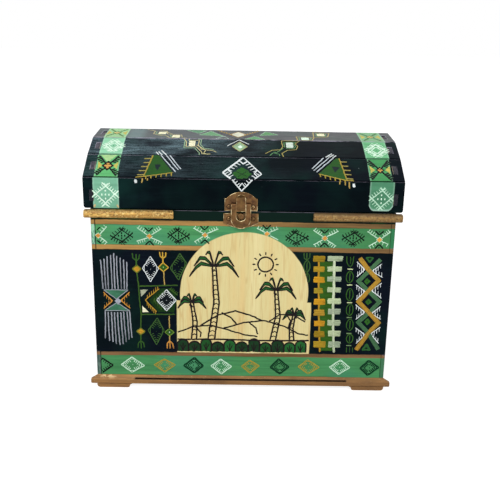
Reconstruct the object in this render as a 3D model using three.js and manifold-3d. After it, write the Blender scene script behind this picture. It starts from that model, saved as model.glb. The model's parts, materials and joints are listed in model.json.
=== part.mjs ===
// A painted jewelry chest of thin plywood with an arched lid of flat slats.
//
// The body is a box of fingered boards on four foot pads, with a chamfered
// moulding along the foot of its front and two half-round rails under the
// lid.  Seven slats lie over two arched end panels, whose tabs come through
// slots in the slats.  A hasp latch closes the front and two butt hinges
// carry the lid at the back.
//
// Units are millimetres, +Z is up and the front faces -Y.

import * as THREE from "three";
import { mergeVertices } from "three/addons/utils/BufferGeometryUtils.js";
import Module from "manifold-3d";

const wasm = await Module();
wasm.setup();

// Boards and body
const board = 4;
const body_length = 288.5;
const body_depth = 174;
const wall_height = 181.75;
const corner_finger_low = 34;
const corner_finger_high = 34.75;

// Foot pads
const foot_height = 4;
const foot_length = 35;
const foot_depth = 35;
const foot_ogee = 4.5;
const foot_rounding = 3.5;

// Moulding along the foot of the front
const plinth_overhang = 6;
const plinth_height = 8.4;
const plinth_depth = 4;
const plinth_chamfer = 3.6;
const plinth_nose_radius = 1.6;
const plinth_groove_inset = 3.25;
const plinth_groove_height = 1.2;
const plinth_groove_depth = 1.3;
const plinth_groove_drop = 2.1;
const plinth_groove_rounding = 0.55;

// Half-round rails under the lid
const rail_overhang = 5.75;
const rail_gap = 132;
const rail_height = 8.4;
const rail_depth = 4;
const rail_corner = 1.5;

// Lid
const lid_gap = 1;
const slat_overhang = 5.75;
const lid_board_height = 30.1;
const slat_width = 34.5;
const slat_low_angle = THREE.MathUtils.degToRad(24.7);
const slat_high_angle = THREE.MathUtils.degToRad(15.9);
const slat_seam = 0.35;
const slat_edge = 0.7;
const board_corner = 2.5;
const seat_gap = 0.3;
const slot_clearance = 0.15;
const board_tab_length = 11;
const board_tab_start = 7;
const slat_tab_length = 12;
const top_tab_length = 10;
const top_slot_length = 16.5;

// Latch
const latch_offset = -2.5;
const latch_sheet = 0.8;
const upper_plate_width = 30.5;
const upper_plate_shoulder = 11.5;
const upper_plate_rise = 6.4;
const plate_ear = 1.5;
const lower_plate_width = 32.4;
const lower_plate_drop = 2;
const lower_plate_ear_height = 9.8;
const lower_plate_rise = 4;
const rib_width = 8.4;
const rib_height = 15;
const rib_depth = 2.9;
const rib_rounding = 3.2;
const tongue_width = 18.2;
const tongue_sheet = 0.9;
const tongue_bottom_drop = 15.6;
const tongue_slot_width = 9.2;
const tongue_slot_drop = 8.6;
const tongue_knuckle_radius = 1.5;
const latch_pin_radius = 0.6;
const latch_pin_rise = 5.9;
const latch_pin_stand = 2.5;
const latch_pin_length = 19;
const latch_pin_clearance = 0.1;
const catch_radius = 3.4;
const catch_height = 2;
const catch_drop = 4.6;
const nail_radius = 0.6;
const nail_length = 3.2;
const nail_head_radius = 1.4;
const nail_head_height = 0.55;
const upper_nail_rise = 3.8;
const lower_nail_drop = 6.9;
const nail_spacing = 22.8;

// Hinges
const hinge_inset = 54.25;
const hinge_length = 25;
const hinge_leaf_height = 14;
const hinge_sheet = 1;
const hinge_corner = 2;
const hinge_knuckle_radius = 2;
const hinge_knuckle_gap = 0.2;
const hinge_pin_radius = 0.9;
const hinge_pin_clearance = 0.1;
const hinge_stand = 2.2;
const hinge_notch = 2.5;
const screw_radius = 0.9;
const screw_length = 3.4;
const screw_head_radius = 1.8;
const screw_head_height = 0.7;
const screw_slot_width = 0.5;
const screw_slot_depth = 0.35;
const screw_spacing = 15;
const screw_rise = 8.5;
const pilot_clearance = 0.15;

// Facets of round forms
const round_segments = 24;
const small_segments = 16;
const corner_segments = 6;
const arch_segments = 14;

// How far a cutting tool reaches past what it cuts
const spare = 1;

// Turned profiles from the rim to the middle, as shares of radius and height
const nail_dome = [[1, 0], [0.85, 0.6], [0.45, 0.95], [0, 1]];
const screw_dome = [[1, 0], [0.9, 0.5], [0.6, 0.88], [0, 1]];
const catch_dome = [[1, 0.5], [0.86, 0.775], [0.55, 0.96], [0, 1]];
const nail_point_share = 0.3;
const nail_taper_share = 0.75;
const screw_point_share = 0.25;
const screw_taper_share = 0.7;

// Levels and faces that the sizes above set
const front_face = -body_depth / 2;
const back_face = body_depth / 2;
const side_face = body_length / 2;
const lid_length = body_length + 2 * slat_overhang;
const plinth_length = body_length + 2 * plinth_overhang;
const plinth_groove_length = body_length - 2 * (foot_length + plinth_groove_inset);
const rail_reach = body_length + 2 * rail_overhang;
const wall_bottom = foot_height;
const rim_top = foot_height + wall_height;
const lid_bottom = rim_top + lid_gap;
const hinge_axis_height = rim_top + lid_gap / 2;
const hinge_axis_depth = back_face + hinge_stand;
const front_reach = latch_pin_stand + tongue_knuckle_radius;
const back_reach = hinge_stand + hinge_knuckle_radius;

// Directions in which an outline is extruded: an outline drawn in (y, z)
// runs along +X, and one drawn in (x, z) runs along -Y.
const X = new THREE.Vector3(1, 0, 0);
const Y = new THREE.Vector3(0, 1, 0);
const Z = new THREE.Vector3(0, 0, 1);
const along_x = new THREE.Matrix4().makeBasis(Y, Z, X);
const along_minus_y = new THREE.Matrix4().makeBasis(X, Z, Y.clone().negate());

// Finishes, read from the painted wood and the aged brass
const finishes = {
  dark_paint: { color: 0x12211f, roughness: 0.42, metalness: 0 },
  gold_paint: { color: 0xb08340, roughness: 0.45, metalness: 0.35 },
  green_paint: { color: 0x46995a, roughness: 0.5, metalness: 0 },
  plywood: { color: 0xd9bd84, roughness: 0.75, metalness: 0 },
  brass: { color: 0x8a6238, roughness: 0.38, metalness: 0.9 },
};

function piece(name, geometry, finish) {
  const mesh = new THREE.Mesh(geometry, new THREE.MeshStandardMaterial(finishes[finish]));
  mesh.name = name;
  return mesh;
}

// Solids: closed meshes go to the boolean library and back

function to_solid(geometry) {
  const bare = geometry.clone();
  bare.deleteAttribute("normal");
  bare.deleteAttribute("uv");
  const merged = mergeVertices(bare, 1e-4);
  return new wasm.Manifold(
    new wasm.Mesh({
      numProp: 3,
      vertProperties: new Float32Array(merged.attributes.position.array),
      triVerts: new Uint32Array(merged.index.array),
    }),
  );
}

function to_geometry(solid) {
  const mesh = solid.getMesh();
  const geometry = new THREE.BufferGeometry();
  geometry.setAttribute("position", new THREE.BufferAttribute(mesh.vertProperties, 3));
  geometry.setIndex(new THREE.BufferAttribute(mesh.triVerts, 1));
  geometry.computeVertexNormals();
  return geometry;
}

function cut(geometry, tools) {
  return to_geometry(tools.reduce((solid, tool) => solid.subtract(to_solid(tool)), to_solid(geometry)));
}

function join([first, ...others]) {
  return to_geometry(others.reduce((solid, next) => solid.add(to_solid(next)), to_solid(first)));
}

function common(first, second) {
  return to_geometry(to_solid(first).intersect(to_solid(second)));
}

// Outlines and plain forms

function polygon(points) {
  return new THREE.Shape(points.map(([a, b]) => new THREE.Vector2(a, b)));
}

function extrude(shape, length, basis, segments = corner_segments) {
  const geometry = new THREE.ExtrudeGeometry(shape, {
    depth: length,
    bevelEnabled: false,
    curveSegments: segments,
  });
  return geometry.applyMatrix4(basis);
}

function block(low, high) {
  const size = high.map((value, axis) => value - low[axis]);
  const middle = high.map((value, axis) => (value + low[axis]) / 2);
  return new THREE.BoxGeometry(...size).translate(...middle);
}

// A rod between two faces across the depth, from the nearer to the front
function rod_y(radius, near, far, x, z, segments) {
  const rod = new THREE.CylinderGeometry(radius, radius, far - near, segments);
  return rod.translate(x, (near + far) / 2, z);
}

function rod_x(radius, length, y, z, segments) {
  const rod = new THREE.CylinderGeometry(radius, radius, length, segments);
  return rod.rotateZ(Math.PI / 2).translate(0, y, z);
}

// A turned piece with its axis along Y, from points of radius and height
function turned(points, segments) {
  const profile = points.map(([radius, height]) => new THREE.Vector2(radius, height));
  return new THREE.LatheGeometry(profile, segments);
}

// The points of a shank that tapers to its tip and of the dome over it
function fastener_profile(shank_radius, tip, point_share, taper_share, head_radius, head_height, dome) {
  return [
    [0, -tip],
    [shank_radius * point_share, -tip],
    [shank_radius, -tip * taper_share],
    [shank_radius, 0],
    ...dome.map(([across, up]) => [head_radius * across, head_height * up]),
  ];
}

function rounded_rectangle(left, bottom, right, top, radius) {
  const shape = new THREE.Shape();
  shape.moveTo(left + radius, bottom);
  shape.lineTo(right - radius, bottom);
  shape.absarc(right - radius, bottom + radius, radius, -Math.PI / 2, 0);
  shape.lineTo(right, top - radius);
  shape.absarc(right - radius, top - radius, radius, 0, Math.PI / 2);
  shape.lineTo(left + radius, top);
  shape.absarc(left + radius, top - radius, radius, Math.PI / 2, Math.PI);
  shape.lineTo(left, bottom + radius);
  shape.absarc(left + radius, bottom + radius, radius, Math.PI, 1.5 * Math.PI);
  return shape;
}

// A board outline whose ends step at the corner fingers: `ends` gives half
// the width in the low, middle and high finger.
function fingered_outline(ends) {
  const low_step = wall_bottom + corner_finger_low;
  const high_step = rim_top - corner_finger_high;
  const steps = [wall_bottom, low_step, high_step, rim_top];
  const right = ends.flatMap((half, index) => [[half, steps[index]], [half, steps[index + 1]]]);
  const left = right.map(([half, height]) => [-half, height]).reverse();
  return polygon([...right, ...left]);
}

// Body boards

function latch_nail_places(rise) {
  return [-1, 1].map((side) => [latch_offset + (side * nail_spacing) / 2, rise]);
}

function hinge_screw_places(centre, rise) {
  return [-1, 1].map((side) => [centre + (side * screw_spacing) / 2, hinge_axis_height + rise]);
}

function hinge_centres() {
  return [hinge_inset - side_face, side_face - hinge_inset];
}

function nail_bore([x, z]) {
  const radius = nail_radius + pilot_clearance;
  const far = front_face + nail_length + pilot_clearance;
  return rod_y(radius, front_face - spare, far, x, z, small_segments);
}

function screw_bore([x, z]) {
  const radius = screw_radius + pilot_clearance;
  const near = back_face - screw_length - pilot_clearance;
  return rod_y(radius, near, back_face + spare, x, z, small_segments);
}

function body_front() {
  const inner = side_face - board;
  const outline = fingered_outline([inner, side_face, inner]);
  const panel = extrude(outline, board, along_minus_y).translate(0, front_face + board, 0);
  const bores = latch_nail_places(rim_top - lower_nail_drop).map(nail_bore);
  return piece("front_panel", cut(panel, bores), "dark_paint");
}

function body_back() {
  const inner = side_face - board;
  const outline = fingered_outline([inner, side_face, inner]);
  const panel = extrude(outline, board, along_minus_y).translate(0, back_face, 0);
  const bores = hinge_centres().flatMap((centre) => hinge_screw_places(centre, -screw_rise).map(screw_bore));
  return piece("back_panel", cut(panel, bores), "dark_paint");
}

function body_side(name, side) {
  const inner = body_depth / 2 - board;
  const outline = fingered_outline([body_depth / 2, inner, body_depth / 2]);
  const start = side < 0 ? -side_face : side_face - board;
  return piece(name, extrude(outline, board, along_x).translate(start, 0, 0), "dark_paint");
}

function body_bottom() {
  const half_length = side_face - board;
  const half_depth = body_depth / 2 - board;
  const low = [-half_length, -half_depth, wall_bottom];
  const high = [half_length, half_depth, wall_bottom + board];
  return piece("bottom_panel", block(low, high), "plywood");
}

// A foot pad in front view: a rounded outer end and an ogee inner end
function foot(name, side, near) {
  const outer = side_face;
  const inner = side_face - foot_length;
  const outline = new THREE.Shape();
  outline.moveTo(side * outer, foot_height);
  outline.quadraticCurveTo(side * outer, 0, side * (outer - foot_rounding), 0);
  outline.lineTo(side * (inner + foot_ogee), 0);
  outline.bezierCurveTo(
    side * (inner + foot_ogee / 4), 0,
    side * (inner + (3 * foot_ogee) / 4), foot_height,
    side * inner, foot_height,
  );
  const pad = extrude(outline, foot_depth, along_minus_y).translate(0, near + foot_depth, 0);
  return piece(name, pad, "gold_paint");
}

// The moulding is its section, met by its outline in front view, whose ends
// slope back to the body, with the long groove sawn into the slope.
function plinth_moulding() {
  const low = wall_bottom;
  const high = wall_bottom + plinth_height;
  const nose = front_face - plinth_depth;
  const half = plinth_length / 2;
  const nose_middle = low + plinth_nose_radius;
  const nose_end = half - plinth_nose_radius;
  const section = new THREE.Shape();
  section.moveTo(front_face, low);
  section.lineTo(front_face, high);
  section.lineTo(nose, high - plinth_chamfer);
  section.lineTo(nose, low + plinth_nose_radius / 2);
  section.lineTo(nose + plinth_nose_radius / 2, low);
  const outline = new THREE.Shape();
  outline.moveTo(-nose_end, low);
  outline.lineTo(nose_end, low);
  outline.absarc(nose_end, nose_middle, plinth_nose_radius, -Math.PI / 2, 0);
  outline.lineTo(half, high - plinth_chamfer);
  outline.lineTo(side_face, high);
  outline.lineTo(-side_face, high);
  outline.lineTo(-half, high - plinth_chamfer);
  outline.absarc(-nose_end, nose_middle, plinth_nose_radius, Math.PI, 1.5 * Math.PI);
  const strip = extrude(section, plinth_length, along_x).translate(-half, 0, 0);
  const front_view = extrude(outline, plinth_depth + 2 * spare, along_minus_y);
  front_view.translate(0, front_face + spare, 0);
  const groove_height = high - plinth_groove_drop;
  const groove_face = front_face - (plinth_groove_drop * plinth_depth) / plinth_chamfer;
  const groove = extrude(
    rounded_rectangle(
      -plinth_groove_length / 2, groove_height - plinth_groove_height,
      plinth_groove_length / 2, groove_height, plinth_groove_rounding,
    ),
    plinth_depth + spare,
    along_minus_y,
  ).translate(0, groove_face + plinth_groove_depth, 0);
  return piece("plinth_moulding", cut(common(strip, front_view), [groove]), "gold_paint");
}

// A half-round rail from the gap at the latch to its end past the body
function rail(name, side) {
  const middle = rim_top - rail_height / 2;
  const near = rail_gap / 2;
  const far = rail_reach / 2;
  const section = new THREE.Shape();
  section.moveTo(front_face, middle + rail_height / 2);
  section.absellipse(front_face, middle, rail_depth, rail_height / 2, Math.PI / 2, 1.5 * Math.PI);
  const left = side < 0 ? -far : near;
  const strip = extrude(section, far - near, along_x, round_segments).translate(left, 0, 0);
  const outline = rounded_rectangle(left, rim_top - rail_height, left + far - near, rim_top, rail_corner);
  const front_view = extrude(outline, rail_depth + 2 * spare, along_minus_y);
  front_view.translate(0, front_face + spare, 0);
  return piece(name, common(strip, front_view), "gold_paint");
}

// Lid: the facets run from the foot of the front board over the arch to the
// foot of the back board.  `turn` is the angle from one facet to the next.

const slat_run = slat_width * (Math.cos(slat_low_angle) + Math.cos(slat_high_angle));
const top_slat_width = body_depth - 2 * slat_run;

const facets = (() => {
  const front_half = [
    { name: "lid_front_board", width: lid_board_height, angle: Math.PI / 2 },
    { name: "lid_slat_front_low", width: slat_width, angle: slat_low_angle },
    { name: "lid_slat_front_high", width: slat_width, angle: slat_high_angle },
  ];
  const back_names = ["lid_slat_back_high", "lid_slat_back_low", "lid_back_board"];
  const back_half = [...front_half].reverse().map((facet, index) => ({
    name: back_names[index],
    width: facet.width,
    angle: -facet.angle,
  }));
  const list = [...front_half, { name: "lid_slat_top", width: top_slat_width, angle: 0 }, ...back_half];
  let y = front_face;
  let z = lid_bottom;
  return list.map((facet, index) => {
    const placed = { ...facet, start: [y, z] };
    y += facet.width * Math.cos(facet.angle);
    z += facet.width * Math.sin(facet.angle);
    placed.turn_in = index > 0 ? list[index - 1].angle - facet.angle : 0;
    placed.turn_out = index < list.length - 1 ? facet.angle - list[index + 1].angle : 0;
    Object.assign(placed, tab_and_slot(facet, index, list.length - 1));
    return placed;
  });
})();

// Where the end panel's tab passes each facet, measured along the facet
function tab_and_slot(facet, index, last) {
  const at = (start, length, slot_start, slot_end) => ({
    tab: [start, start + length],
    slot: [slot_start ?? start - slot_clearance, slot_end ?? start + length + slot_clearance],
  });
  if (index === 0) {
    return at(board_tab_start, board_tab_length);
  }
  if (index === last) {
    return at(facet.width - board_tab_start - board_tab_length, board_tab_length);
  }
  if (facet.angle === 0) {
    const slot_start = (facet.width - top_slot_length) / 2;
    return at(slot_start + slot_clearance, top_tab_length, slot_start, slot_start + top_slot_length);
  }
  return at((facet.width - slat_tab_length) / 2, slat_tab_length);
}

// A point at `along` from the facet's start and `out` from its outer face
function facet_point(facet, along, out) {
  const [y, z] = facet.start;
  const cos = Math.cos(facet.angle);
  const sin = Math.sin(facet.angle);
  return [y + along * cos - out * sin, z + along * sin + out * cos];
}

// One end of a slat's section, mitred to half the turn and eased outside
function slat_end(place, inward, turn) {
  const lean = Math.tan(turn / 2);
  const edge = turn > 0 ? slat_edge : slat_edge / 2;
  const corner = place + (turn > 0 ? (inward * slat_seam) / 2 : 0);
  return [
    [corner + inward * (board * lean), -board],
    [corner + inward * (edge * lean), -edge],
    [corner + inward * edge, 0],
  ];
}

function slat_section(facet) {
  const start = slat_end(0, 1, facet.turn_in);
  const end = slat_end(facet.width, -1, facet.turn_out).reverse();
  return polygon([...start, ...end].reverse());
}

// A pilot hole from the outer face of a slat that still lies flat
function slat_bore(radius, length, x, along) {
  const wide = radius + pilot_clearance;
  const deep = length + pilot_clearance;
  const bore = new THREE.CylinderGeometry(wide, wide, deep + spare, small_segments);
  return bore.rotateX(Math.PI / 2).translate(x, along, (spare - deep) / 2);
}

// A slat is modelled flat, along Y with its outer face up, and then turned
function slat(facet) {
  const half = lid_length / 2;
  const blank = extrude(slat_section(facet), lid_length, along_x).translate(-half, 0, 0);
  const [slot_start, slot_end] = facet.slot;
  const tools = [-1, 1].map((side) => {
    const inner = side * (side_face - board) - side * slot_clearance;
    const outer = side * side_face + side * slot_clearance;
    const low = [Math.min(inner, outer), slot_start, -board - spare];
    return block(low, [Math.max(inner, outer), slot_end, spare]);
  });
  if (facet.name === "lid_front_board") {
    const bores = latch_nail_places(lid_bottom + upper_nail_rise).map(([x, z]) => (
      slat_bore(nail_radius, nail_length, x, z - lid_bottom)
    ));
    tools.push(...bores, ...board_corners(0, 1));
  }
  if (facet.name === "lid_back_board") {
    const places = hinge_centres().flatMap((centre) => hinge_screw_places(centre, screw_rise));
    const bores = places.map(([x, z]) => (
      slat_bore(screw_radius, screw_length, x, facet.width - (z - lid_bottom))
    ));
    tools.push(...bores, ...board_corners(facet.width, -1));
  }
  const mesh = piece(facet.name, cut(blank, tools), "dark_paint");
  mesh.position.set(0, ...facet.start);
  mesh.rotation.x = facet.angle;
  return mesh;
}

// Corner pieces that round the two lower corners of an upright lid board
function board_corners(foot_place, inward) {
  return [-1, 1].map((side) => {
    const corner = (side * lid_length) / 2;
    const corner_x = corner - side * board_corner;
    const corner_y = foot_place + inward * board_corner;
    const arc = Array.from({ length: corner_segments + 1 }, (_, step) => {
      const angle = (step / corner_segments) * (Math.PI / 2);
      return [
        corner_x + side * board_corner * Math.sin(angle),
        corner_y - inward * board_corner * Math.cos(angle),
      ];
    });
    const past_x = corner + side * spare;
    const past_y = foot_place - inward * spare;
    const points = [[corner_x, past_y], ...arc, [past_x, corner_y], [past_x, past_y]];
    const shape = polygon(side * inward > 0 ? points.reverse() : points);
    const depth = board + 2 * spare;
    return new THREE.ExtrudeGeometry(shape, { depth, bevelEnabled: false }).translate(0, 0, -board - spare);
  });
}

// The end panel fills the arch under the slats and its tabs fill the slots
function lid_end(name, side) {
  const seat = board + seat_gap;
  const points = facets.flatMap((facet) => {
    const [tab_start, tab_end] = facet.tab;
    const corner = facet.turn_out > 0
      ? [facet_point(facet, facet.width - seat * Math.tan(facet.turn_out / 2), -seat)]
      : [];
    return [
      facet_point(facet, tab_start, -seat),
      facet_point(facet, tab_start, 0),
      facet_point(facet, tab_end, 0),
      facet_point(facet, tab_end, -seat),
      ...corner,
    ];
  });
  const first = [front_face + seat, lid_bottom];
  const last = [back_face - seat, lid_bottom];
  const outline = polygon([first, ...points, last].reverse());
  const start = side < 0 ? -side_face : side_face - board;
  return piece(name, extrude(outline, board, along_x).translate(start, 0, 0), "dark_paint");
}

// Latch: every outline is in front view, centred on x = 0

function arched_plate_outline(width, base, shoulder, rise, direction) {
  const half = width / 2;
  const arch_half = half - plate_ear;
  const radius = (arch_half ** 2 + rise ** 2) / (2 * rise);
  const spread = Math.asin(arch_half / radius);
  const arch = Array.from({ length: arch_segments + 1 }, (_, step) => {
    const angle = spread * (1 - (2 * step) / arch_segments);
    const height = shoulder + rise - radius * (1 - Math.cos(angle));
    return [radius * Math.sin(angle), base + direction * height];
  });
  const points = [[-half, base], [half, base], [half, base + direction * shoulder], ...arch];
  points.push([-half, base + direction * shoulder]);
  return polygon(direction > 0 ? points : points.reverse());
}

function plate_bore([x, z]) {
  const radius = nail_radius + pilot_clearance;
  const near = front_face - latch_sheet - spare;
  return rod_y(radius, near, front_face + spare, x - latch_offset, z, small_segments);
}

function upper_plate() {
  const outline = arched_plate_outline(
    upper_plate_width, lid_bottom, upper_plate_shoulder, upper_plate_rise, 1,
  );
  const plate = extrude(outline, latch_sheet, along_minus_y).translate(0, front_face, 0);
  const rib_half = rib_width / 2;
  const rib_top = lid_bottom + rib_height;
  const rib_section = polygon([
    [front_face - latch_sheet / 2, lid_bottom],
    [front_face - latch_sheet / 2, rib_top],
    [front_face - latch_sheet, rib_top],
    [front_face - latch_sheet - rib_depth, rib_top - rib_depth / 2],
    [front_face - latch_sheet - rib_depth, lid_bottom],
  ]);
  const rib_outline = rounded_rectangle(-rib_half, lid_bottom - rib_width, rib_half, rib_top, rib_rounding);
  const rib_reach = latch_sheet + rib_depth + 2 * spare;
  const rib = common(
    extrude(rib_section, rib_width, along_x).translate(-rib_half, 0, 0),
    extrude(rib_outline, rib_reach, along_minus_y).translate(0, front_face + spare, 0),
  );
  const pin_hole = rod_x(
    latch_pin_radius + latch_pin_clearance, tongue_width,
    front_face - latch_pin_stand, lid_bottom + latch_pin_rise, small_segments,
  );
  const bores = latch_nail_places(lid_bottom + upper_nail_rise).map(plate_bore);
  return piece("latch_upper_plate", cut(join([plate, rib]), [pin_hole, ...bores]), "brass");
}

function lower_plate() {
  const top = rim_top - lower_plate_drop;
  const outline = arched_plate_outline(
    lower_plate_width, top, lower_plate_ear_height, lower_plate_rise, -1,
  );
  const plate = extrude(outline, latch_sheet, along_minus_y).translate(0, front_face, 0);
  const profile = [
    [0, -latch_sheet / 2],
    [catch_radius, -latch_sheet / 2],
    ...catch_dome.map(([across, up]) => [catch_radius * across, catch_height * up]),
  ];
  const knob = turned(profile, round_segments).rotateX(Math.PI);
  knob.translate(0, front_face - latch_sheet, rim_top - catch_drop);
  const bores = latch_nail_places(rim_top - lower_nail_drop).map(plate_bore);
  return piece("latch_lower_plate", cut(join([plate, knob]), bores), "brass");
}

// The tongue is a long U: two arms from the pin's knuckles round the catch
function tongue() {
  const half = tongue_width / 2;
  const slot_half = tongue_slot_width / 2;
  const top = lid_bottom + latch_pin_rise;
  const bottom = rim_top - tongue_bottom_drop;
  const slot_bottom = rim_top - tongue_slot_drop;
  const sheet = new THREE.Shape();
  sheet.moveTo(half, top);
  sheet.lineTo(slot_half, top);
  sheet.lineTo(slot_half, slot_bottom + slot_half);
  sheet.absarc(0, slot_bottom + slot_half, slot_half, 0, Math.PI, true);
  sheet.lineTo(-slot_half, top);
  sheet.lineTo(-half, top);
  sheet.lineTo(-half, bottom + half);
  sheet.absarc(0, bottom + half, half, Math.PI, 2 * Math.PI);
  const plate = extrude(sheet, tongue_sheet, along_minus_y, round_segments);
  plate.translate(0, front_face - front_reach + tongue_sheet, 0);
  const pin_y = front_face - latch_pin_stand;
  const arm = half - slot_half;
  const knuckles = [-1, 1].map((side) => rod_x(tongue_knuckle_radius, arm, pin_y, top, round_segments)
    .translate(side * (slot_half + arm / 2), 0, 0));
  const bore_length = tongue_width + 2 * spare;
  const bore = rod_x(latch_pin_radius + latch_pin_clearance, bore_length, pin_y, top, small_segments);
  return piece("latch_tongue", cut(join([plate, ...knuckles]), [bore]), "brass");
}

function latch_pin() {
  const pin_y = front_face - latch_pin_stand;
  const pin = rod_x(latch_pin_radius, latch_pin_length, pin_y, lid_bottom + latch_pin_rise, small_segments);
  return piece("latch_pin", pin, "brass");
}

// A domed nail whose head lies on the face of the sheet
function nail(name, [x, z]) {
  const profile = fastener_profile(
    nail_radius, latch_sheet + nail_length, nail_point_share, nail_taper_share,
    nail_head_radius, nail_head_height, nail_dome,
  );
  const geometry = turned(profile, small_segments).rotateX(Math.PI);
  return piece(name, geometry.translate(x - latch_offset, front_face - latch_sheet, z), "brass");
}

function latch() {
  const assembly = new THREE.Group();
  const sides = ["left", "right"];
  const upper = latch_nail_places(lid_bottom + upper_nail_rise);
  const lower = latch_nail_places(rim_top - lower_nail_drop);
  assembly.add(upper_plate(), lower_plate(), tongue(), latch_pin());
  sides.forEach((side, index) => {
    assembly.add(nail(`latch_upper_nail_${side}`, upper[index]));
    assembly.add(nail(`latch_lower_nail_${side}`, lower[index]));
  });
  assembly.position.x = latch_offset;
  return assembly;
}

// Hinges: `direction` is -1 for the leaf on the body and 1 for the lid's

function knuckle_spans(direction) {
  const quarter = hinge_length / 4;
  const gap = hinge_knuckle_gap / 2;
  if (direction > 0) {
    return [[-quarter + gap, quarter - gap]];
  }
  return [[-hinge_length / 2, -quarter - gap], [quarter + gap, hinge_length / 2]];
}

function hinge_leaf(name, direction) {
  const half = hinge_length / 2;
  const axis = hinge_axis_height;
  const tip = axis + direction * hinge_leaf_height;
  const base = axis + direction * hinge_notch;
  const low = Math.min(tip, base);
  const high = Math.max(tip, base);
  const outline = rounded_rectangle(-half, low, half, high, hinge_corner);
  const field = extrude(outline, hinge_sheet, along_minus_y).translate(0, back_face + hinge_sheet, 0);
  const root = base + direction * hinge_corner;
  const strips = knuckle_spans(direction).map(([left, right]) => block(
    [left, back_face, Math.min(axis, root)],
    [right, back_face + hinge_sheet, Math.max(axis, root)],
  ));
  const knuckles = knuckle_spans(direction).map(([left, right]) => rod_x(
    hinge_knuckle_radius, right - left, hinge_axis_depth, axis, round_segments,
  ).translate((left + right) / 2, 0, 0));
  const bore = rod_x(
    hinge_pin_radius + hinge_pin_clearance, hinge_length + 2 * spare,
    hinge_axis_depth, axis, round_segments,
  );
  const near = back_face - spare;
  const far = back_face + hinge_sheet + spare;
  const screw_holes = hinge_screw_places(0, direction * screw_rise).map(([x, z]) => (
    rod_y(screw_radius + pilot_clearance, near, far, x, z, small_segments)
  ));
  return piece(name, cut(join([field, ...strips, ...knuckles]), [bore, ...screw_holes]), "brass");
}

function hinge_pin(name) {
  const pin = rod_x(hinge_pin_radius, hinge_length, hinge_axis_depth, hinge_axis_height, round_segments);
  return piece(name, pin, "brass");
}

// A slotted round-head screw, driven from the back
function screw(name, [x, z]) {
  const profile = fastener_profile(
    screw_radius, hinge_sheet + screw_length, screw_point_share, screw_taper_share,
    screw_head_radius, screw_head_height, screw_dome,
  );
  const slot_end = screw_head_radius + spare;
  const slot = block(
    [-slot_end, screw_head_height - screw_slot_depth, -screw_slot_width / 2],
    [slot_end, screw_head_height + spare, screw_slot_width / 2],
  );
  const geometry = cut(turned(profile, small_segments), [slot]);
  return piece(name, geometry.translate(x, back_face + hinge_sheet, z), "brass");
}

function hinge(label, centre) {
  const assembly = new THREE.Group();
  const leaves = { body: -1, lid: 1 };
  for (const [carrier, direction] of Object.entries(leaves)) {
    assembly.add(hinge_leaf(`hinge_${label}_${carrier}_leaf`, direction));
    hinge_screw_places(0, direction * screw_rise).forEach((place, index) => {
      assembly.add(screw(`hinge_${label}_${carrier}_screw_${index + 1}`, place));
    });
  }
  assembly.add(hinge_pin(`hinge_${label}_pin`));
  assembly.position.x = centre;
  return assembly;
}

// The whole chest, with its origin under the middle of its outer box

const chest = new THREE.Group();

chest.add(body_front(), body_back(), body_bottom());
chest.add(body_side("left_panel", -1), body_side("right_panel", 1));
for (const [side_name, side] of [["left", -1], ["right", 1]]) {
  chest.add(foot(`foot_front_${side_name}`, side, front_face - plinth_depth));
  chest.add(foot(`foot_back_${side_name}`, side, back_face - foot_depth));
  chest.add(rail(`rail_${side_name}`, side));
  chest.add(lid_end(`lid_end_${side_name}`, side));
}
chest.add(plinth_moulding());
facets.forEach((facet) => chest.add(slat(facet)));
chest.add(latch());
chest.add(hinge("left", hinge_centres()[0]), hinge("right", hinge_centres()[1]));
chest.position.y = (front_reach - back_reach) / 2;

export default chest;
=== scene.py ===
"""A hand-painted jewelry chest: the wood, paint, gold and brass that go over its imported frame."""

import json
import math
import random

import bmesh
import bpy
from bpy.props import FloatProperty, FloatVectorProperty, IntProperty, PointerProperty
from bpy.types import Operator, Panel, PropertyGroup
from mathutils import Matrix, Vector


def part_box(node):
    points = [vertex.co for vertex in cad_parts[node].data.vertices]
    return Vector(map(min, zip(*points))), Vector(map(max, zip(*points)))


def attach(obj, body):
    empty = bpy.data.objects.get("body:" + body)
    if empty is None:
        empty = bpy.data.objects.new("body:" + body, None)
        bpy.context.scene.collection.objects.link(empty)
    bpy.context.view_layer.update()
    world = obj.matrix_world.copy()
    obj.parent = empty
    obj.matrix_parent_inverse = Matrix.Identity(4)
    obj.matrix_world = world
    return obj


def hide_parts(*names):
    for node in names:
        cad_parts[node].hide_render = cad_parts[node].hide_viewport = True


bl_info = {
    "name": "Painted jewelry chest",
    "version": (1, 0, 0),
    "blender": (4, 5, 0),
    "location": "3D Viewport > Sidebar > Chest",
    "description": "Dresses the frame of a small painted plywood chest with an arched lid",
    "category": "Add Mesh",
}

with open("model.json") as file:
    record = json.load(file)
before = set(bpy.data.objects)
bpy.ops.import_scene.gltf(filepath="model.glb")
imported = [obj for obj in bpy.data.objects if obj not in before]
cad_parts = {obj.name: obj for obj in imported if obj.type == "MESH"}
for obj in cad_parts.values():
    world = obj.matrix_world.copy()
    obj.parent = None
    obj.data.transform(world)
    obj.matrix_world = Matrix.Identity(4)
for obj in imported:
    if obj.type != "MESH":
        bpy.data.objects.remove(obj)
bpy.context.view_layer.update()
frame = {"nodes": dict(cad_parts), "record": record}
MM = 0.001
FLAT = math.radians(0.6)
NOISE_ROUGHNESS = 0.55


# Colours


def channel(value):
    """One channel of a screen colour, from 0 to 255, as light."""
    share = value / 255
    if share <= 0.04045:
        return share / 12.92
    return ((share + 0.055) / 1.055) ** 2.4


def light(colour):
    """Four numbers of light for a colour written as on a screen, such as 46995A; others stay as they are."""
    if not isinstance(colour, str):
        return colour
    red, green, blue = (int(colour[place:place + 2], 16) for place in (0, 2, 4))
    return (channel(red), channel(green), channel(blue), 1.0)


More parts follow.
